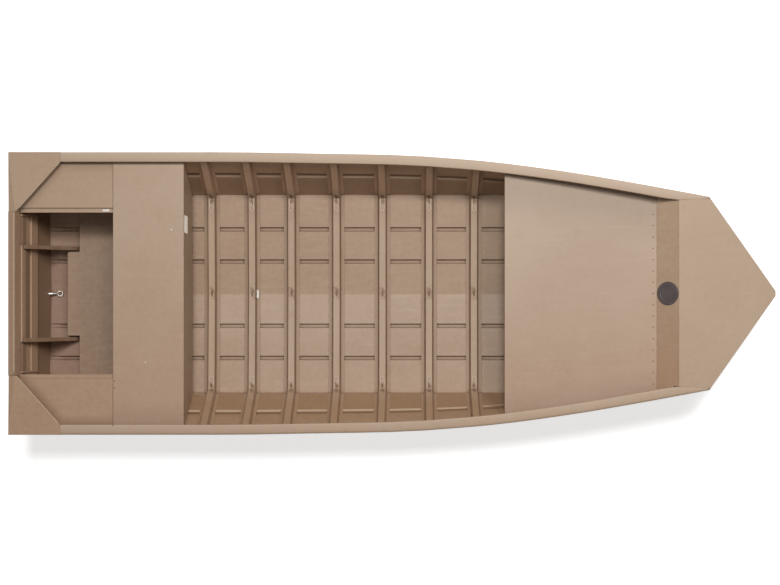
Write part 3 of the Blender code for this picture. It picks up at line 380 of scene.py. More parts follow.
def side_line(n, colour):
    """Painted light and shade on the side plates and in their pressed line: shade above, highlight below."""
    spot = n.spot()
    height = spot["Z"]
    inner = n.band(n.facing()["Z"], 0.02, 0.06)
    # Painted light under the port rail pales the wall, and painted shade darkens it low on the starboard side
    lift = n.times(n.band(height, 0.20, 0.34, 0.0, 0.9), n.band(spot["Y"], 0.0, 0.1))
    colour = n.toned(n.times(lift, inner), colour, (1.22, 1.24, 1.28))
    low = n.times(n.band(height, 0.46, 0.22, 0.25, 1.0), n.band(spot["Y"], 0.0, -0.1))
    colour = n.toned(n.times(low, inner), colour, (0.93, 0.91, 0.88))
    # Each flank's height, its painted highlight or shade, and its share to starboard and to port
    flanks = ((SIDE_LINE_LIT, LINE_HIGHLIGHT_TAN, 0.45, 0.72), (SIDE_LINE_DARK, DIRT_AND_SHADE_TAN, 0.55, 0.80))
    for (low, high), paint, starboard, port in flanks:
        mask = n.times(n.band(height, low, low + 0.001), n.band(height, high, high - 0.001))
        mask = n.times(mask, inner)
        share = n.band(spot["Y"], -0.1, 0.1, starboard, port)
        colour = n.mix(n.times(mask, share), colour, n.colour(paint))
    return colour


def shaded_flanks(n, colour):
    """Painted shade on a rib's flanks, with less of it where they climb the starboard side."""
    flank = n.band(n.maths("ABSOLUTE", n.facing()["X"]), 0.55, 0.85, 0.0, 0.42)
    flank = n.times(flank, n.band(n.spot()["Y"], -0.60, -0.68, 1.0, 0.1))
    return n.mix(flank, colour, n.colour(DIRT_AND_SHADE_TAN))


def shaded_top(n, colour):
    """Painted shade on what faces up."""
    return n.mix(n.band(n.facing()["Z"], 0.60, 0.90, 0.0, 0.55), colour, n.colour(GRIME_AND_SHADE_TAN))


def shaded_transom(n, colour):
    """Painted shade low on the transom's inner side, in the slot between its knees and beside them."""
    spot = n.spot()
    height = spot["Z"]
    beside = n.band(n.maths("ABSOLUTE", spot["Y"]), *KNEES_BESIDE)
    between = n.maths("SUBTRACT", 1.0, beside)
    low = n.band(height, *LOW_SHADE, 0.0, 0.60)
    slot = n.times(n.band(height, *SLOT_FOOT, 0.0, 0.60), n.band(height, *SLOT_TOP))
    recess = n.times(n.band(height, *RECESS_FOOT, 0.0, 0.50), n.band(height, *RECESS_TOP))
    both = n.maths("ADD", n.times(slot, between), n.times(recess, beside))
    # The transom's outer side, which faces aft, gets none of this painted shade
    inside = n.band(n.facing()["X"], 0.05, 0.30)
    return n.mix(n.times(n.maths("ADD", low, both), inside), colour, n.colour(DIRT_AND_SHADE_TAN))


def shade_to_starboard(share):
    """Painted shade on decks, boxes and rails, warmer and darker towards starboard, by a share."""
    def tone(n, colour):
        return n.toned(n.band(n.spot()["Y"], 0.30, -0.85, 0.0, share), colour, (0.976, 0.932, 0.915))
    return tone


def shadow_beside_rails(rails):
    """A deck's painted soft shadow beside the rails."""
    half, change, shift, start, full = rails

    def tone(n, colour):
        spot = n.spot()
        width = n.maths("ADD", n.times(spot["X"], change), half)
        inside = n.maths("SUBTRACT", width, n.maths("ABSOLUTE", n.maths("SUBTRACT", spot["Y"], shift)))
        return n.toned(n.band(inside, start, full), colour, (0.92, 0.922, 0.926))
    return tone


def rail_middles():
    """The middle of a rail's width at some places along it, from the CAD's own rail."""
    line = {}
    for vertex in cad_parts["gunwale_port"].data.vertices:
        line.setdefault(round(vertex.co.x, 3), []).append(vertex.co.y)
    places = sorted(line)
    step = (len(places) - 1) / (RAIL_STATIONS - 1)
    chosen = [places[round(index * step)] for index in range(RAIL_STATIONS)]
    return [(x, (min(line[x]) + max(line[x])) / 2.0) for x in chosen]


def shaded_across_rails(n, colour):
    """Painted light and shade across a rail: pale on the side that faces port, darkening over its width to
    the other.
    """
    spot = n.spot()
    middles = n.add("ShaderNodeFloatCurve")
    points = middles.mapping.curves[0].points
    for place, (x, y) in enumerate(rail_middles()):
        share = (x + RAIL_SPAN) / (2.0 * RAIL_SPAN)
        # A new curve has two points already
        if place < 2:
            points[place].location = (share, y)
        else:
            points.new(share, y)
    middles.mapping.update()
    n.link(n.maths("ADD", n.maths("DIVIDE", spot["X"], 2.0 * RAIL_SPAN), 0.5), middles.inputs["Value"])
    middle = n.times(middles.outputs["Value"], n.maths("SIGN", spot["Y"]))
    to_port = n.maths("SUBTRACT", spot["Y"], middle)
    colour = n.toned(n.band(to_port, 0.0, 0.030), colour, (1.035, 1.045, 1.06))
    return n.toned(n.band(to_port, 0.0, -0.032), colour, (0.935, 0.92, 0.90))


def rib_light_and_shade(n, colour):
    """Painted shade on the ribs' flanges, and painted light and shade where they climb the sides."""
    spot = n.spot()
    beside = spot["Y"]
    over = n.maths("SUBTRACT", spot["Z"], n.times(n.maths("ABSOLUTE", beside), BOTTOM_RISE))
    colour = n.toned(n.band(over, 0.040, 0.030), colour, (0.91, 0.89, 0.87))
    colour = n.toned(n.band(beside, *RIB_FLOOR_PORT), colour, (0.95, 0.94, 0.935))
    colour = n.toned(n.band(beside, *RIB_CLIMB_PORT), colour, (1.19, 1.16, 1.14))
    return n.toned(n.band(beside, *RIB_CLIMB_STARBOARD), colour, (0.935, 0.885, 0.835))


def shadow_beside_gussets(n, colour):
    """A painted shadow on the stern boxes' tops beside the gussets and the rails, which stand above them."""
    spot = n.spot()
    beside = n.maths("ABSOLUTE", spot["Y"])
    along, out, offset = GUSSET_EDGE
    inboard = n.maths("SUBTRACT", n.times(spot["X"], along), n.times(beside, out))
    inboard = n.maths("ADD", inboard, offset)
    dark = n.maths("MAXIMUM", n.band(inboard, 0.060, 0.004, 0.0, 0.9), n.band(beside, 0.775, 0.840, 0.0, 0.9))
    dark = n.times(dark, n.band(spot["Z"], 0.50, 0.48))
    return n.toned(dark, colour, (0.84, 0.82, 0.80))


def floor_light_and_shade(n, colour):
    """Painted light on the bottom's starboard half, and painted shadow in the stern's well."""
    spot = n.spot()
    upper = n.band(n.facing()["Z"], 0.0, 0.1)
    pale = n.times(n.band(spot["Y"], -0.003, -0.006), n.band(spot["Y"], -0.35, -0.20, 0.5, 1.0))
    pale = n.times(pale, n.band(spot["X"], -1.40, -1.30))
    colour = n.toned(n.times(pale, upper), colour, (1.060, 1.083, 1.110))
    well = n.times(n.band(spot["X"], -2.06, -2.12), n.band(spot["Y"], 0.45, 0.25))
    return n.toned(n.times(well, upper), colour, (0.88, 0.84, 0.84))


def painted_metal(name, base, shade, gloss, dust, wear, waves,
                  edge_radius=0.0035, dirt_and_shade=0.45, tones=(), rail=False):
    """Sprayed satin paint on sheet aluminium.

    gloss is the least roughness; dust, wear, and the dirt and painted shade in corners are shares; waves is
    the sheet's unevenness in metres. Each of tones takes the nodes and a colour, and gives it back changed.
    """
    n = Nodes(name)
    n.shader.inputs["Specular IOR Level"].default_value = 0.34
    rounded, edge = n.edges(edge_radius)
    blotch = n.band(n.noise(1.7, 5.0, 0.62), 0.35, 0.68)
    mottle = n.band(n.noise(31.0, 4.0, 0.6), 0.38, 0.66)
    colour = n.mix(n.times(blotch, 0.75), n.colour(base), n.colour(shade))
    colour = n.mix(n.times(mottle, 0.22), colour, n.colour(TAN_DUST))
    # Dust lies in soft streaks along the boat
    streak = n.band(n.noise(1.0, 5.0, 0.7, n.stretched((3.0, 34.0, 12.0))), 0.52, 0.80)
    colour = n.mix(n.times(streak, dust), colour, n.colour(TAN_DUST))
    grime = n.band(n.noise(6.5, 6.0, 0.68), 0.60, 0.86)
    colour = n.mix(n.times(grime, 0.30), colour, n.colour(GRIME_AND_SHADE_TAN))
    # Dirt and painted shade in corners, where other surfaces are near
    corner = n.times(n.corners(0.030), n.band(n.noise(18.0, 4.0, 0.6), 0.0, 1.0, 0.6, 1.25))
    colour = n.mix(n.times(corner, dirt_and_shade), colour, n.colour(DIRT_AND_SHADE_TAN))
    for tone in tones:
        colour = tone(n, colour)
    scratch = n.band(n.noise(1.0, 2.0, 0.5, n.stretched((5.0, 420.0, 90.0))), 0.66, 0.72)
    colour = n.mix(n.times(scratch, wear * 0.6), colour, n.colour(TAN_WORN))
    rub = n.times(edge, n.band(n.noise(55.0, 5.0, 0.7), 0.42, 0.62))
    colour = n.mix(n.times(rub, wear), colour, n.colour(TAN_WORN))
    if rail:
        colour = shaded_across_rails(n, colour)
        # A painted highlight on the edge that faces port
        bright = n.times(edge, n.band(n.facing(rounded)["Y"], 0.10, 0.45, 0.0, 0.85))
        colour = n.mix(bright, colour, n.colour(HIGHLIGHT_TAN))
    rough = n.maths("ADD", n.band(mottle, 0.0, 1.0, gloss, gloss + 0.10), n.band(grime, 0.0, 1.0, 0.0, 0.14))
    normal = n.bump(n.noise(3.1, 2.0, 0.4), waves, 0.6, rounded)
    normal = n.bump(n.noise(620.0, 2.0, 0.5), 0.00022, 0.35, normal)
    return n.finish(colour, rough, normal)


def bare_metal(name, base, dull, roughness):
    """Worn bright metal with fine turning or brushing marks."""
    n = Nodes(name)
    rounded, edge = n.edges(0.0012)
    dim = n.band(n.noise(85.0, 5.0, 0.65), 0.35, 0.70)
    colour = n.mix(dim, n.colour(base), n.colour(dull))
    colour = n.mix(n.times(edge, 0.6), colour, n.colour(base))
    rough = n.band(dim, 0.0, 1.0, roughness, roughness + 0.22)
    normal = n.bump(n.noise(1.0, 3.0, 0.6, n.stretched((900.0, 140.0, 900.0))), 0.00008, 0.5, rounded)
    n.shader.inputs["Metallic"].default_value = 1.0
    return n.finish(colour, rough, normal)


def moulded_plastic(name, base, dust):
    """Fine-grained moulded plastic, dusty in its texture."""
    n = Nodes(name)
    rounded, edge = n.edges(0.0015)
    cloud = n.band(n.noise(24.0, 5.0, 0.65), 0.38, 0.72)
    grain = n.noise(1500.0, 2.0, 0.5)
    colour = n.mix(n.times(cloud, 0.35), n.colour(base), n.colour(dust))
    colour = n.mix(n.times(n.band(grain, 0.55, 0.75), 0.25), colour, n.colour(dust))
    colour = n.mix(n.times(edge, 0.35), colour, n.colour(dust))
    rough = n.band(cloud, 0.0, 1.0, 0.46, 0.62)
    return n.finish(colour, rough, n.bump(grain, 0.00018, 0.6, rounded))


def printed_film(name, base, shade):
    """A blank vinyl label, with a faint mottled sheen."""
    n = Nodes(name)
    cloud = n.band(n.noise(60.0, 4.0, 0.6), 0.35, 0.70)
    colour = n.mix(cloud, n.colour(base), n.colour(shade))
    rough = n.band(cloud, 0.0, 1.0, 0.32, 0.46)
    return n.finish(colour, rough, n.bump(n.noise(240.0, 3.0, 0.5), 0.0001, 0.5))


# Paints: name, colour, shade, then gloss, dust, wear and waves
PAINT = {
    "deck": painted_metal("deck_paint", TAN, TAN_SHADE, 0.44, 0.30, 0.35, 0.0016,
                          tones=(shade_to_starboard(1.0), shadow_beside_rails(REAR_RAILS))),
    "front": painted_metal("front_paint", FRONT_TAN, FRONT_SHADE, 0.44, 0.30, 0.35, 0.0016,
                           tones=(shade_to_starboard(1.0), shadow_beside_rails(FRONT_RAILS))),
    "bow": painted_metal("bow_paint", TAN, TAN_SHADE, 0.44, 0.30, 0.35, 0.0016, tones=(shade_to_starboard(0.15),)),
    "inside": painted_metal("inside_paint", INNER_TAN, INNER_SHADE, 0.50, 0.42, 0.30, 0.0012),
    "stern": painted_metal("stern_paint", STERN_TAN, STERN_SHADE, 0.42, 0.18, 0.30, 0.0008),
    "ribs": painted_metal("rib_paint", TAN, TAN_SHADE, 0.46, 0.35, 0.40, 0.0006, dirt_and_shade=0.60,
                          tones=(rib_light_and_shade, shaded_flanks)),
    "quarter": painted_metal("quarter_paint", QUARTER_TAN, QUARTER_SHADE, 0.44, 0.25, 0.35, 0.0014, dirt_and_shade=0.55,
                             tones=(shade_to_starboard(0.9), shadow_beside_gussets)),
    "tray": painted_metal("tray_paint", TRAY_TAN, TRAY_SHADE, 0.46, 0.30, 0.30, 0.0012),
    "slope": painted_metal("slope_paint", SLOPE_TAN, SLOPE_SHADE, 0.44, 0.25, 0.30, 0.0012,
                           tones=(shade_to_starboard(1.5),)),
    "knee": painted_metal("knee_paint", KNEE_TAN, KNEE_SHADE, 0.42, 0.18, 0.30, 0.0008),
    "cap": painted_metal("cap_paint", CAP_TAN, CAP_SHADE, 0.42, 0.18, 0.30, 0.0008, tones=(shaded_top,)),
    "board": painted_metal("board_paint", STERN_TAN, STERN_SHADE, 0.42, 0.18, 0.30, 0.0008,
                           tones=(shaded_transom,)),
    "fold": painted_metal("fold_highlight_paint", HIGHLIGHT_TAN, TAN_WORN, 0.40, 0.20, 0.30, 0.0002, dirt_and_shade=0.0),
    "floor": painted_metal("bottom_paint", FLOOR_TAN, FLOOR_SHADE, 0.48, 0.40, 0.25, 0.0016, dirt_and_shade=0.75,
                           tones=(floor_light_and_shade,)),
    "outside": painted_metal("side_paint", SIDE_TAN, SIDE_SHADE, 0.42, 0.18, 0.25, 0.0016, dirt_and_shade=0.15,
                             tones=(side_line,)),
    "rail": painted_metal("rail_paint", RAIL_TAN, TAN, 0.40, 0.20, 0.30, 0.0004, 0.008, dirt_and_shade=0.08,
                          tones=(shade_to_starboard(0.3),), rail=True),
    "strip": painted_metal("strip_paint", RAIL_TAN, TAN, 0.40, 0.20, 0.30, 0.0004, 0.008, dirt_and_shade=0.08,
                           tones=(shade_to_starboard(0.3),)),
    "hem": painted_metal("hem_highlight_paint", HEM_HIGHLIGHT_TAN, RAIL_TAN, 0.42, 0.20, 0.30, 0.0002, dirt_and_shade=0.0),
    "seam": painted_metal("seam_paint", RAIL_TAN, TAN, 0.40, 0.20, 0.45, 0.0004),
    "dirt_and_shade": painted_metal("shade_film", GRIME_AND_SHADE_TAN, DIRT_AND_SHADE_TAN, 0.60, 0.10, 0.0, 0.0001),
    "rivet": painted_metal("rivet_paint", RIVET_TAN, GRIME_AND_SHADE_TAN, 0.46, 0.15, 0.20, 0.0001),
    "weld": painted_metal("weld_paint", TAN_SHADE, TAN, 0.46, 0.15, 0.45, 0.0002),
}
PLASTIC = moulded_plastic("deck_plate_plastic", DARK_PLASTIC, DARK_PLASTIC_DUST)
METAL = bare_metal("bright_fitting_metal", BRIGHT_METAL, BRIGHT_METAL_DULL, 0.24)
GREY = bare_metal("weathered_fitting_metal", GREY_METAL, GREY_METAL_DULL, 0.38)
PLATE = bare_metal("blank_plate_metal", PLATE_METAL, PLATE_METAL_DULL, 0.72)
LABEL = printed_film("blank_label", LABEL_WHITE, LABEL_SHADE)

# First words of node names, and the finish of those nodes
FINISHES = (
    (("rear_deck",), PAINT["deck"]),
    (("front_deck",), PAINT["front"]),
    (("bow_deck",), PAINT["bow"]),
    (("side_box", "corner_gusset"), PAINT["quarter"]),
    (("gunwale",), PAINT["rail"]),
    (("chine", "keel_strip"), PAINT["strip"]),
    (("rib_",), PAINT["ribs"]),
    (("transom_cap",), PAINT["cap"]),
    (("knee",), PAINT["knee"]),
    (("transom_board", "transom_skin"), PAINT["board"]),
    (("transom_bracket", "transom_stiffener", "motor_plate"), PAINT["stern"]),
    (("battery_tray",), PAINT["tray"]),
    (("bow_bulkhead",), PAINT["slope"]),
    (("hull_bottom", "bow_bottom"), PAINT["floor"]),
    (("side_plate",), PAINT["outside"]),
    (("deck_plate",), PLASTIC),
    (("drain",), METAL),
    (("bow_eye",), GREY),
    (("capacity_plate",), PLATE),
)


def finish_nodes():
    """Give every CAD node its material."""
    for name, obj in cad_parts.items():
        material = PAINT["inside"]
        for starts, finish in FINISHES:
            if name.startswith(starts):
                material = finish
        obj.data.materials.clear()
        obj.data.materials.append(material)


def surface_tree():
    """The CAD nodes' surface, for placing small pieces on it."""
    points = []
    faces = []
    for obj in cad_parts.values():
        first = len(points)
        points += [obj.matrix_world @ vertex.co for vertex in obj.data.vertices]
        faces += [[first + index for index in face.vertices] for face in obj.data.polygons]
    return BVHTree.FromPolygons(points, faces)


SURFACE = surface_tree()


def landing(x, y):
    """Where a small piece dropped straight down meets the boat, and the surface's normal there."""
    point, normal, _, _ = SURFACE.ray_cast(Vector((x, y, DROP_HEIGHT)), -UP)
    if normal.z < 0.0:
        normal = -normal
    return point, normal


def add_object(name, data):
    """A new object in the scene."""
    obj = bpy.data.objects.new(name, data)
    bpy.context.scene.collection.objects.link(obj)
    return obj


def piece(name, bm, material):
    """A finished, smooth mesh that rides on the hull."""
    bmesh.ops.recalc_face_normals(bm, faces=bm.faces)
    for face in bm.faces:
        face.smooth = True
    mesh = bpy.data.meshes.new(name)
    bm.to_mesh(mesh)
    bm.free()
    obj = add_object(name, mesh)
    mesh.materials.append(material)
    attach(obj, "root")


def circle(centre, first, second, radius, steps, start=0.0):
    """Points round a circle, in the plane of two directions."""
    points = []
    for step in range(steps):
        angle = start + 2.0 * math.pi * step / steps
        points.append(centre + first * math.cos(angle) * radius + second * math.sin(angle) * radius)
    return points


def lathe(bm, profile, origin, axis, segments=16):
    """Turn a profile of (radius, height) about an axis from origin."""
    turn = axis.to_track_quat("Z", "Y").to_matrix()
    rings = []
    for radius, height in profile:
        centre = origin + turn @ (UP * height)
        spots = [centre]
        if radius:
            spots = circle(centre, turn @ AHEAD, turn @ TO_PORT, radius, segments)
        rings.append([bm.verts.new(spot) for spot in spots])
    for low, high in zip(rings, rings[1:]):
        for step in range(segments):
            after = (step + 1) % segments
            corners = [low[step % len(low)], low[after % len(low)]]
            corners += [high[after % len(high)], high[step % len(high)]]
            unique = list(dict.fromkeys(corners))
            if len(unique) > 2:
                bm.faces.new(unique)


def rivet(bm, point, normal, radius, height):
    """A domed head with a soft foot, its underside just in the surface."""
    profile = ((0.0, -0.0008), (radius, -0.0008), (radius, height * 0.12), (radius * 0.88, height * 0.55))
    profile += ((radius * 0.58, height * 0.90), (radius * 0.2, height * 0.98), (0.0, height))
    lathe(bm, profile, point, normal, 14)


def tube(bm, points, radius, sides=8, closed=False):
    """A round tube through points, with one radius or a list with each point's own."""
    radii = radius if isinstance(radius, list) else [radius] * len(points)
    rings = []
    count = len(points)
    side = None
    for index, point in enumerate(points):
        before = points[index - 1] if index or closed else point
        after = points[(index + 1) % count] if index < count - 1 or closed else point
        along = (after - before).normalized()
        if side is None:
            side = along.orthogonal().normalized()
        side = (side - along * side.dot(along)).normalized()
        spots = circle(point, side, along.cross(side), radii[index], sides)
        rings.append([bm.verts.new(spot) for spot in spots])
    pairs = list(zip(rings, rings[1:]))
    if closed:
        pairs.append((rings[-1], rings[0]))
    for low, high in pairs:
        for step in range(sides):
            after = (step + 1) % sides
            bm.faces.new((low[step], low[after], high[after], high[step]))
    if not closed:
        bm.faces.new(rings[0])
        bm.faces.new(rings[-1])


def weld(bm, start, end, radius, pitch=0.0045):
    """A weld bead between two points: a run of overlapping ripples."""
    length = (end - start).length
    ripples = max(int(length / pitch), 2)
    points = []
    radii = []
    for step in range(ripples * 2 + 1):
        share = step / (ripples * 2)
        spot = start.lerp(end, share)
        uneven = 1.0 + 0.10 * noise(spot * 130.0)
        taper = min(1.0, 0.35 + 6.0 * min(share, 1.0 - share) * length / 0.02)
        points.append(spot)
        radii.append(radius * uneven * taper * (1.0 if step % 2 else 0.84))
    tube(bm, points, radii, 6)


def bulkhead_slope():
    """The bow bulkhead's normal, and the direction up its slope."""
    low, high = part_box("bow_bulkhead")
    pitch = math.atan2(high.z - low.z, high.x - low.x)
    return Vector((-math.sin(pitch), 0.0, math.cos(pitch))), Vector((math.cos(pitch), 0.0, math.sin(pitch)))


def middle(name):
    """The middle of a CAD node's box."""
    low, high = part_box(name)
    return (low + high) / 2.0


def make_rivets():
    """The row of rivets along the front deck's forward edge, and the blank plate's four."""
    bm = bmesh.new()
    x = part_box("front_deck")[1].x - DECK_RIVET_INSET
    for index in range(DECK_RIVETS):
        y = DECK_RIVET_REACH * (2.0 * index / (DECK_RIVETS - 1) - 1.0)
        point, normal = landing(x, y)
        rivet(bm, point, normal, *DECK_RIVET)
    piece("deck_rivets", bm, PAINT["rivet"])

    low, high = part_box("capacity_plate")
    bm = bmesh.new()
    for y in (low.y + PLATE_RIVET_INSET, high.y - PLATE_RIVET_INSET):
        for z in (low.z + PLATE_RIVET_INSET, high.z - PLATE_RIVET_INSET):
            rivet(bm, Vector((high.x, y, z)), AHEAD, *PLATE_RIVET)
    piece("plate_rivets", bm, METAL)


def make_screws():
    """Small deck screws, dark ones at the starboard deck joint, and six in the deck plate's ring."""
    bm = bmesh.new()
    for x, y in DECK_SCREWS:
        point, normal = landing(x, y)
        rivet(bm, point, normal, *DECK_SCREW)
    piece("small_screws", bm, METAL)

    bm = bmesh.new()
    for x, y in JOINT_SCREWS:
        point, normal = landing(x, y)
        rivet(bm, point, normal, *JOINT_SCREW)
    piece("dark_screws", bm, PLASTIC)

    bm = bmesh.new()
    normal, along = bulkhead_slope()
    centre = middle("deck_plate_ring")
    for spot in circle(centre, along, TO_PORT, RING_SCREWS_RADIUS, RING_SCREWS, math.pi / RING_SCREWS):
        point, _, _, _ = SURFACE.ray_cast(spot + normal * PLATE_REACH, -normal)
        rivet(bm, point, normal, *RING_SCREW)
    piece("deck_plate_screws", bm, PLASTIC)


def make_lid_grips():
    """Raised finger grips and two thin rings on the deck plate's lid."""
    normal, along = bulkhead_slope()
    face, _, _, _ = SURFACE.ray_cast(middle("deck_plate_lid") + normal * PLATE_REACH, -normal)
    bm = bmesh.new()
    for radius, wire in LID_RINGS:
        tube(bm, circle(face, along, TO_PORT, radius, 48), wire, 6, closed=True)
    for side in (-1.0, 1.0):
        grip = face + TO_PORT * side * GRIP_OUT + normal * GRIP_LIFT
        start = grip - along * GRIP_HALF
        end = grip + along * GRIP_HALF
        tube(bm, [start, start.lerp(end, 0.5), end], GRIP_RADII)
    piece("deck_plate_grips", bm, PLASTIC)


def make_labels():
    """The two blank white labels: on the port ledge and beside the second rib."""
    bm = bmesh.new()
    for x, y, half_x, half_y in LABELS:
        grid = []
        for step_x in range(LABEL_STEPS + 1):
            row = []
            for step_y in range(LABEL_STEPS + 1):
                spot_x = x + half_x * (2.0 * step_x / LABEL_STEPS - 1.0)
                spot_y = y + half_y * (2.0 * step_y / LABEL_STEPS - 1.0)
                point, normal = landing(spot_x, spot_y)
                row.append((point, normal))
            grid.append(row)
        for level in LABEL_LEVELS:
            sheet = [[bm.verts.new(point + normal * level) for point, normal in row] for row in grid]
            for row, following in zip(sheet, sheet[1:]):
                for step in range(LABEL_STEPS):
                    bm.faces.new((row[step], following[step], following[step + 1], row[step + 1]))
    piece("blank_labels", bm, LABEL)


def make_drain_ring():
    """The drain plug's eye, the collars on its stem, and its pull ring."""
    tip = middle("drain_plug")
    tip.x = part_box("drain_plug")[1].x
    bm = bmesh.new()
    radius, wire = DRAIN_EYE
    tube(bm, circle(tip + DRAIN_EYE_PLACE, AHEAD, UP, radius, 24), wire, closed=True)
    for step in range(COLLARS):
        lathe(bm, COLLAR_PROFILE, tip + AHEAD * (COLLAR_START + COLLAR_PITCH * step), AHEAD, 18)
    piece("drain_plug_eye", bm, METAL)

    bm = bmesh.new()
    radius, wire = PULL_RING
    tilt = Matrix.Rotation(PULL_RING_TILT, 3, "Y")
    ring = circle(tip + PULL_RING_PLACE, tilt @ AHEAD, tilt @ TO_PORT, radius, 40)
    tube(bm, ring, wire, 10, closed=True)
    piece("drain_plug_ring", bm, METAL)


def make_rib_welds():
    """Short stitch welds along both flanges of each cockpit rib."""
    bm = bmesh.new()
    places = [-place for place in reversed(STITCH_PLACES)] + list(STITCH_PLACES)
    for centre in RIB_CENTRES:
        for way in (-1.0, 1.0):
            x = centre + way * (RIB_FLANGE_EDGE + STITCH_GAP)
            for y in places:
                start, normal = landing(x, y - STITCH_HALF)
                end, _ = landing(x, y + STITCH_HALF)
                lift = normal * STITCH_LIFT
                weld(bm, start + lift, end + lift, STITCH_RADIUS)
    piece("rib_stitch_welds", bm, PAINT["weld"])


def gusset_spot(side, ahead, inboard, below):
    """A place on a corner gusset: ahead of its aft end, inboard of its outer side, below its top."""
    low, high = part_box("corner_gusset_port")
    return Vector((low.x + ahead, side * (high.y - inboard), high.z - below))


def make_deck_welds():
    """Beads across the rails at the gussets' forward edge, and down the facets beside the cap."""
    bm = bmesh.new()
    for side in (-1.0, 1.0):
        for (start, end), radius in ((RAIL_BEAD, RAIL_BEAD_RADIUS), (FACET_BEAD, FACET_BEAD_RADIUS)):
            weld(bm, gusset_spot(side, *start), gusset_spot(side, *end), radius)
    piece("gusset_welds", bm, PAINT["weld"])


def stations(name, digits):
    """A CAD node's corners, gathered by their place along the boat, from stern to bow."""
    found = {}
    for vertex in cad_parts[name].data.vertices:
        found.setdefault(round(vertex.co.x, digits), []).append(vertex.co.copy())
    return [found[x] for x in sorted(found)]


def top_edge(name):
    """A node's highest outer corner at each of its stations, as a line from stern to bow."""
    line = []
    for spots in stations(name, 4):
        highest = sorted(spots, key=lambda spot: spot.z)[-2:]
        line.append(max(highest, key=lambda spot: abs(spot.y)))
    return line


def transom_corner():
    """The port side plate's outer aft edge, from below the gusset down to the chine."""
    outer = [max(spots, key=lambda spot: spot.y) for spots in stations("side_plate_port", 4)]
    aft, fore = CORNER_SPAN
    return [CORNER_BEAD_TOP] + [spot for spot in outer if aft < spot.x < fore] + [CORNER_BEAD_FOOT]


def make_hull_welds():
    """Beads up the transom's corners, and along the top of each chine."""
    for side, name in ((1.0, "port"), (-1.0, "starboard")):
        bm = bmesh.new()
        line = [Vector((spot.x - 0.0012, side * (spot.y - 0.0028), spot.z)) for spot in transom_corner()]
        for start, end in zip(line, line[1:]):
            weld(bm, start, end, *CORNER_BEAD)
        piece("transom_weld_" + name, bm, PAINT["weld"])
        bm = bmesh.new()
        line = [spot + Vector((0.0, side * 0.0004, 0.0012)) for spot in top_edge("chine_" + name)]
        for start, end in zip(line, line[1:]):
            weld(bm, start, end, *CHINE_BEAD)
        piece("chine_weld_" + name, bm, PAINT["weld"])


def shade_patch(bm, x, y, half_x, half_y):
    """A thin oval dark film of painted shade, lying on the surface below it."""
    point, normal = landing(x, y)
    centre = bm.verts.new(point + normal * FILM_LIFT)
    ring = []
    for spot in circle(Vector((x, y, 0.0)), AHEAD * half_x, TO_PORT * half_y, 1.0, FILM_CORNERS):
        point, normal = landing(spot.x, spot.y)
        ring.append(bm.verts.new(point + normal * FILM_LIFT))
    for step in range(FILM_CORNERS):
        bm.faces.new((centre, ring[step], ring[(step + 1) % FILM_CORNERS]))


def ridge(bm, centre, side, spots, radius):
    """A ridge on a rib's crown, through places given as ahead of the rib's middle and out from the keel."""
    tube(bm, [landing(centre + x, side * y)[0] for x, y in spots], radius)


def make_rib_folds():
    """The crushed metal where each rib bends up the side: a hooked ridge and a crease on its crown."""
    ridges = bmesh.new()
    shade_patches = bmesh.new()
    for number, centre in enumerate(RIB_CENTRES):
        for side in (-1.0, 1.0):
            turn = side if number % 2 else -side
            # Down one side of the crown, round the hook, and part of the way up the other
            spots = [(FOLD_HALF * turn, FOLD_TOP - 0.014 * step) for step in range(5)]
            for step in range(1, 8):
                angle = math.pi * step / 8.0
                spots.append((FOLD_HALF * turn * math.cos(angle), FOLD_TOP - 0.064 - 0.018 * math.sin(angle)))
            spots += [(-FOLD_HALF * turn, FOLD_TOP - 0.060 + 0.012 * step) for step in range(4)]
            ridge(ridges, centre, side, spots, RIDGE_RADIUS)
            crease = [(-0.001 * turn, FOLD_TOP - 0.006 - 0.012 * step) for step in range(5)]
            ridge(ridges, centre, side, crease, CREASE_RADII)
            # Painted shade patches in the crushed bend's hollows
            shade_patch(shade_patches, centre, side * (FOLD_TOP - 0.040), 0.0095, 0.038)
            shade_patch(shade_patches, centre, side * (FOLD_TOP + 0.008), 0.0130, 0.009)
        # A smaller fold where the rib bends over the keel, with its own patch of painted shade
        shade_patch(shade_patches, centre, 0.0, 0.0085, 0.022)
        spots = []
        for step in range(9):
            angle = math.pi * step / 8.0
            spots.append((0.0105 * math.cos(angle), -0.002 - 0.026 * math.sin(angle)))
        ridge(ridges, centre, 1.0, spots, KEEL_RIDGE_RADIUS)
    # The ridges carry a painted highlight, and the patches are painted shade
    piece("rib_bend_folds", ridges, PAINT["fold"])
    piece("rib_bend_shade", shade_patches, PAINT["dirt_and_shade"])


def make_seams():
    """Filled seams beside the bow deck, and rolled hems on the transom's cap and the gussets."""
    bm = bmesh.new()
    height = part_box("bow_deck")[1].z - BOW_SEAM_DEPTH
    for side in (-1.0, 1.0):
        tube(bm, [Vector((x, side * y, height)) for x, y in BOW_SEAM], SEAM_RADIUS, 10)
    piece("bow_deck_seams", bm, PAINT["seam"])

    bm = bmesh.new()
    low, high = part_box("transom_cap")
    ahead, inboard, below = CAP_HEM
    start = Vector((low.x + ahead, high.y - inboard, high.z - below))
    end = Vector((start.x, -start.y, start.z))
    tube(bm, [start.lerp(end, step / 24.0) for step in range(25)], CAP_HEM_RADIUS, 12)
    piece("transom_cap_hem", bm, PAINT["seam"])

    # The starboard hem has paler paint as a painted highlight; the port one has the seam's paint
    for side, name, paint in ((-1.0, "gusset_hem_starboard", "hem"), (1.0, "gusset_hem_port", "seam")):
        bm = bmesh.new()
        start, end = [gusset_spot(side, *spot) for spot in GUSSET_HEM]
        tube(bm, [start.lerp(end, step / 12.0) for step in range(13)], GUSSET_HEM_RADIUS, 10)
        piece(name, bm, PAINT[paint])


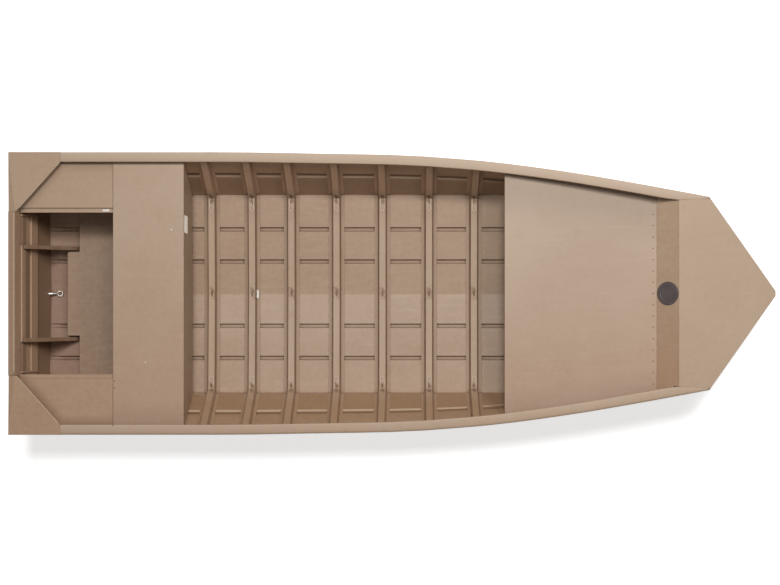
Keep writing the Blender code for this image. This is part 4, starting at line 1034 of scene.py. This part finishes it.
def make_floor():
    """A wide white floor that keeps the shadow, and glows a little for what sees it."""
    bm = bmesh.new()
    bmesh.ops.create_grid(bm, x_segments=2, y_segments=2, size=60.0)
    mesh = bpy.data.meshes.new("floor")
    bm.to_mesh(mesh)
    bm.free()
    floor = add_object("floor", mesh)
    n = Nodes("floor_white")
    cloud = n.band(n.noise(0.8, 3.0, 0.5), 0.3, 0.7)
    white = n.mix(cloud, n.colour(FLOOR_WHITE), n.colour(FLOOR_WHITE_SHADE))
    n.link(white, n.shader.inputs["Base Color"])
    n.shader.inputs["Roughness"].default_value = 0.9
    n.shader.inputs["Specular IOR Level"].default_value = 0.0
    glow = n.add("ShaderNodeEmission")
    n.link(n.times(n.seen(), FLOOR_GLOW), glow.inputs["Strength"])
    both = n.add("ShaderNodeAddShader")
    n.link(n.shader.outputs["BSDF"], both.inputs[0])
    n.link(glow.outputs["Emission"], both.inputs[1])
    n.link(both.outputs[0], n.tree.nodes["Material Output"].inputs["Surface"])
    mesh.materials.append(n.material)


def make_world():
    """Dim even light on surfaces, and plain white where the world itself is seen."""
    world = bpy.data.worlds.new("studio")
    bpy.context.scene.world = world
    world.use_nodes = True
    world.node_tree.nodes.clear()
    n = Tree(world.node_tree)
    both = n.add("ShaderNodeMixShader")
    for socket, strength in ((1, WORLD_LIGHT), (2, WORLD_SEEN)):
        sky = n.add("ShaderNodeBackground")
        sky.inputs["Color"].default_value = (1.0, 1.0, 1.0, 1.0)
        sky.inputs["Strength"].default_value = strength
        n.link(sky.outputs[0], both.inputs[socket])
    n.link(n.seen(), both.inputs["Fac"])
    n.link(both.outputs[0], n.add("ShaderNodeOutputWorld").inputs["Surface"])


def aim(lamp, direction):
    """Turn a lamp so that it shines in a direction."""
    lamp.rotation_euler = direction.to_track_quat("-Z", "Y").to_euler()


def make_lamps():
    """A far, soft-edged key light, and soft boxes over the port side that brighten towards the bow."""
    light = bpy.data.lights.new("key_lamp", "SUN")
    light.energy = KEY_STRENGTH
    light.angle = KEY_ANGLE
    aim(add_object("key_lamp", light), Vector((0.0, -math.sin(KEY_TILT), -math.cos(KEY_TILT))))
    for name, place, target, watts in SOFT_BOXES:
        light = bpy.data.lights.new(name, "AREA")
        light.size = SOFT_BOX_SIZE
        light.energy = watts
        lamp = add_object(name, light)
        lamp.location = place
        aim(lamp, Vector(target) - Vector(place))
        lamp.visible_camera = False


def make_camera():
    """The photograph's camera, which looks straight down."""
    data = bpy.data.cameras.new("camera")
    data.sensor_width = 36.0
    data.lens = 75.5
    data.shift_x = -0.032
    data.shift_y = 0.0096
    data.clip_end = 200.0
    camera = add_object("camera", data)
    camera.location = CAMERA_PLACE
    bpy.context.scene.camera = camera
    bpy.context.scene.view_settings.view_transform = "Standard"


finish_nodes()
make_rivets()
make_screws()
make_lid_grips()
make_labels()
make_drain_ring()
make_rib_welds()
make_deck_welds()
make_hull_welds()
make_rib_folds()
make_seams()
make_floor()
make_world()
make_lamps()
make_camera()
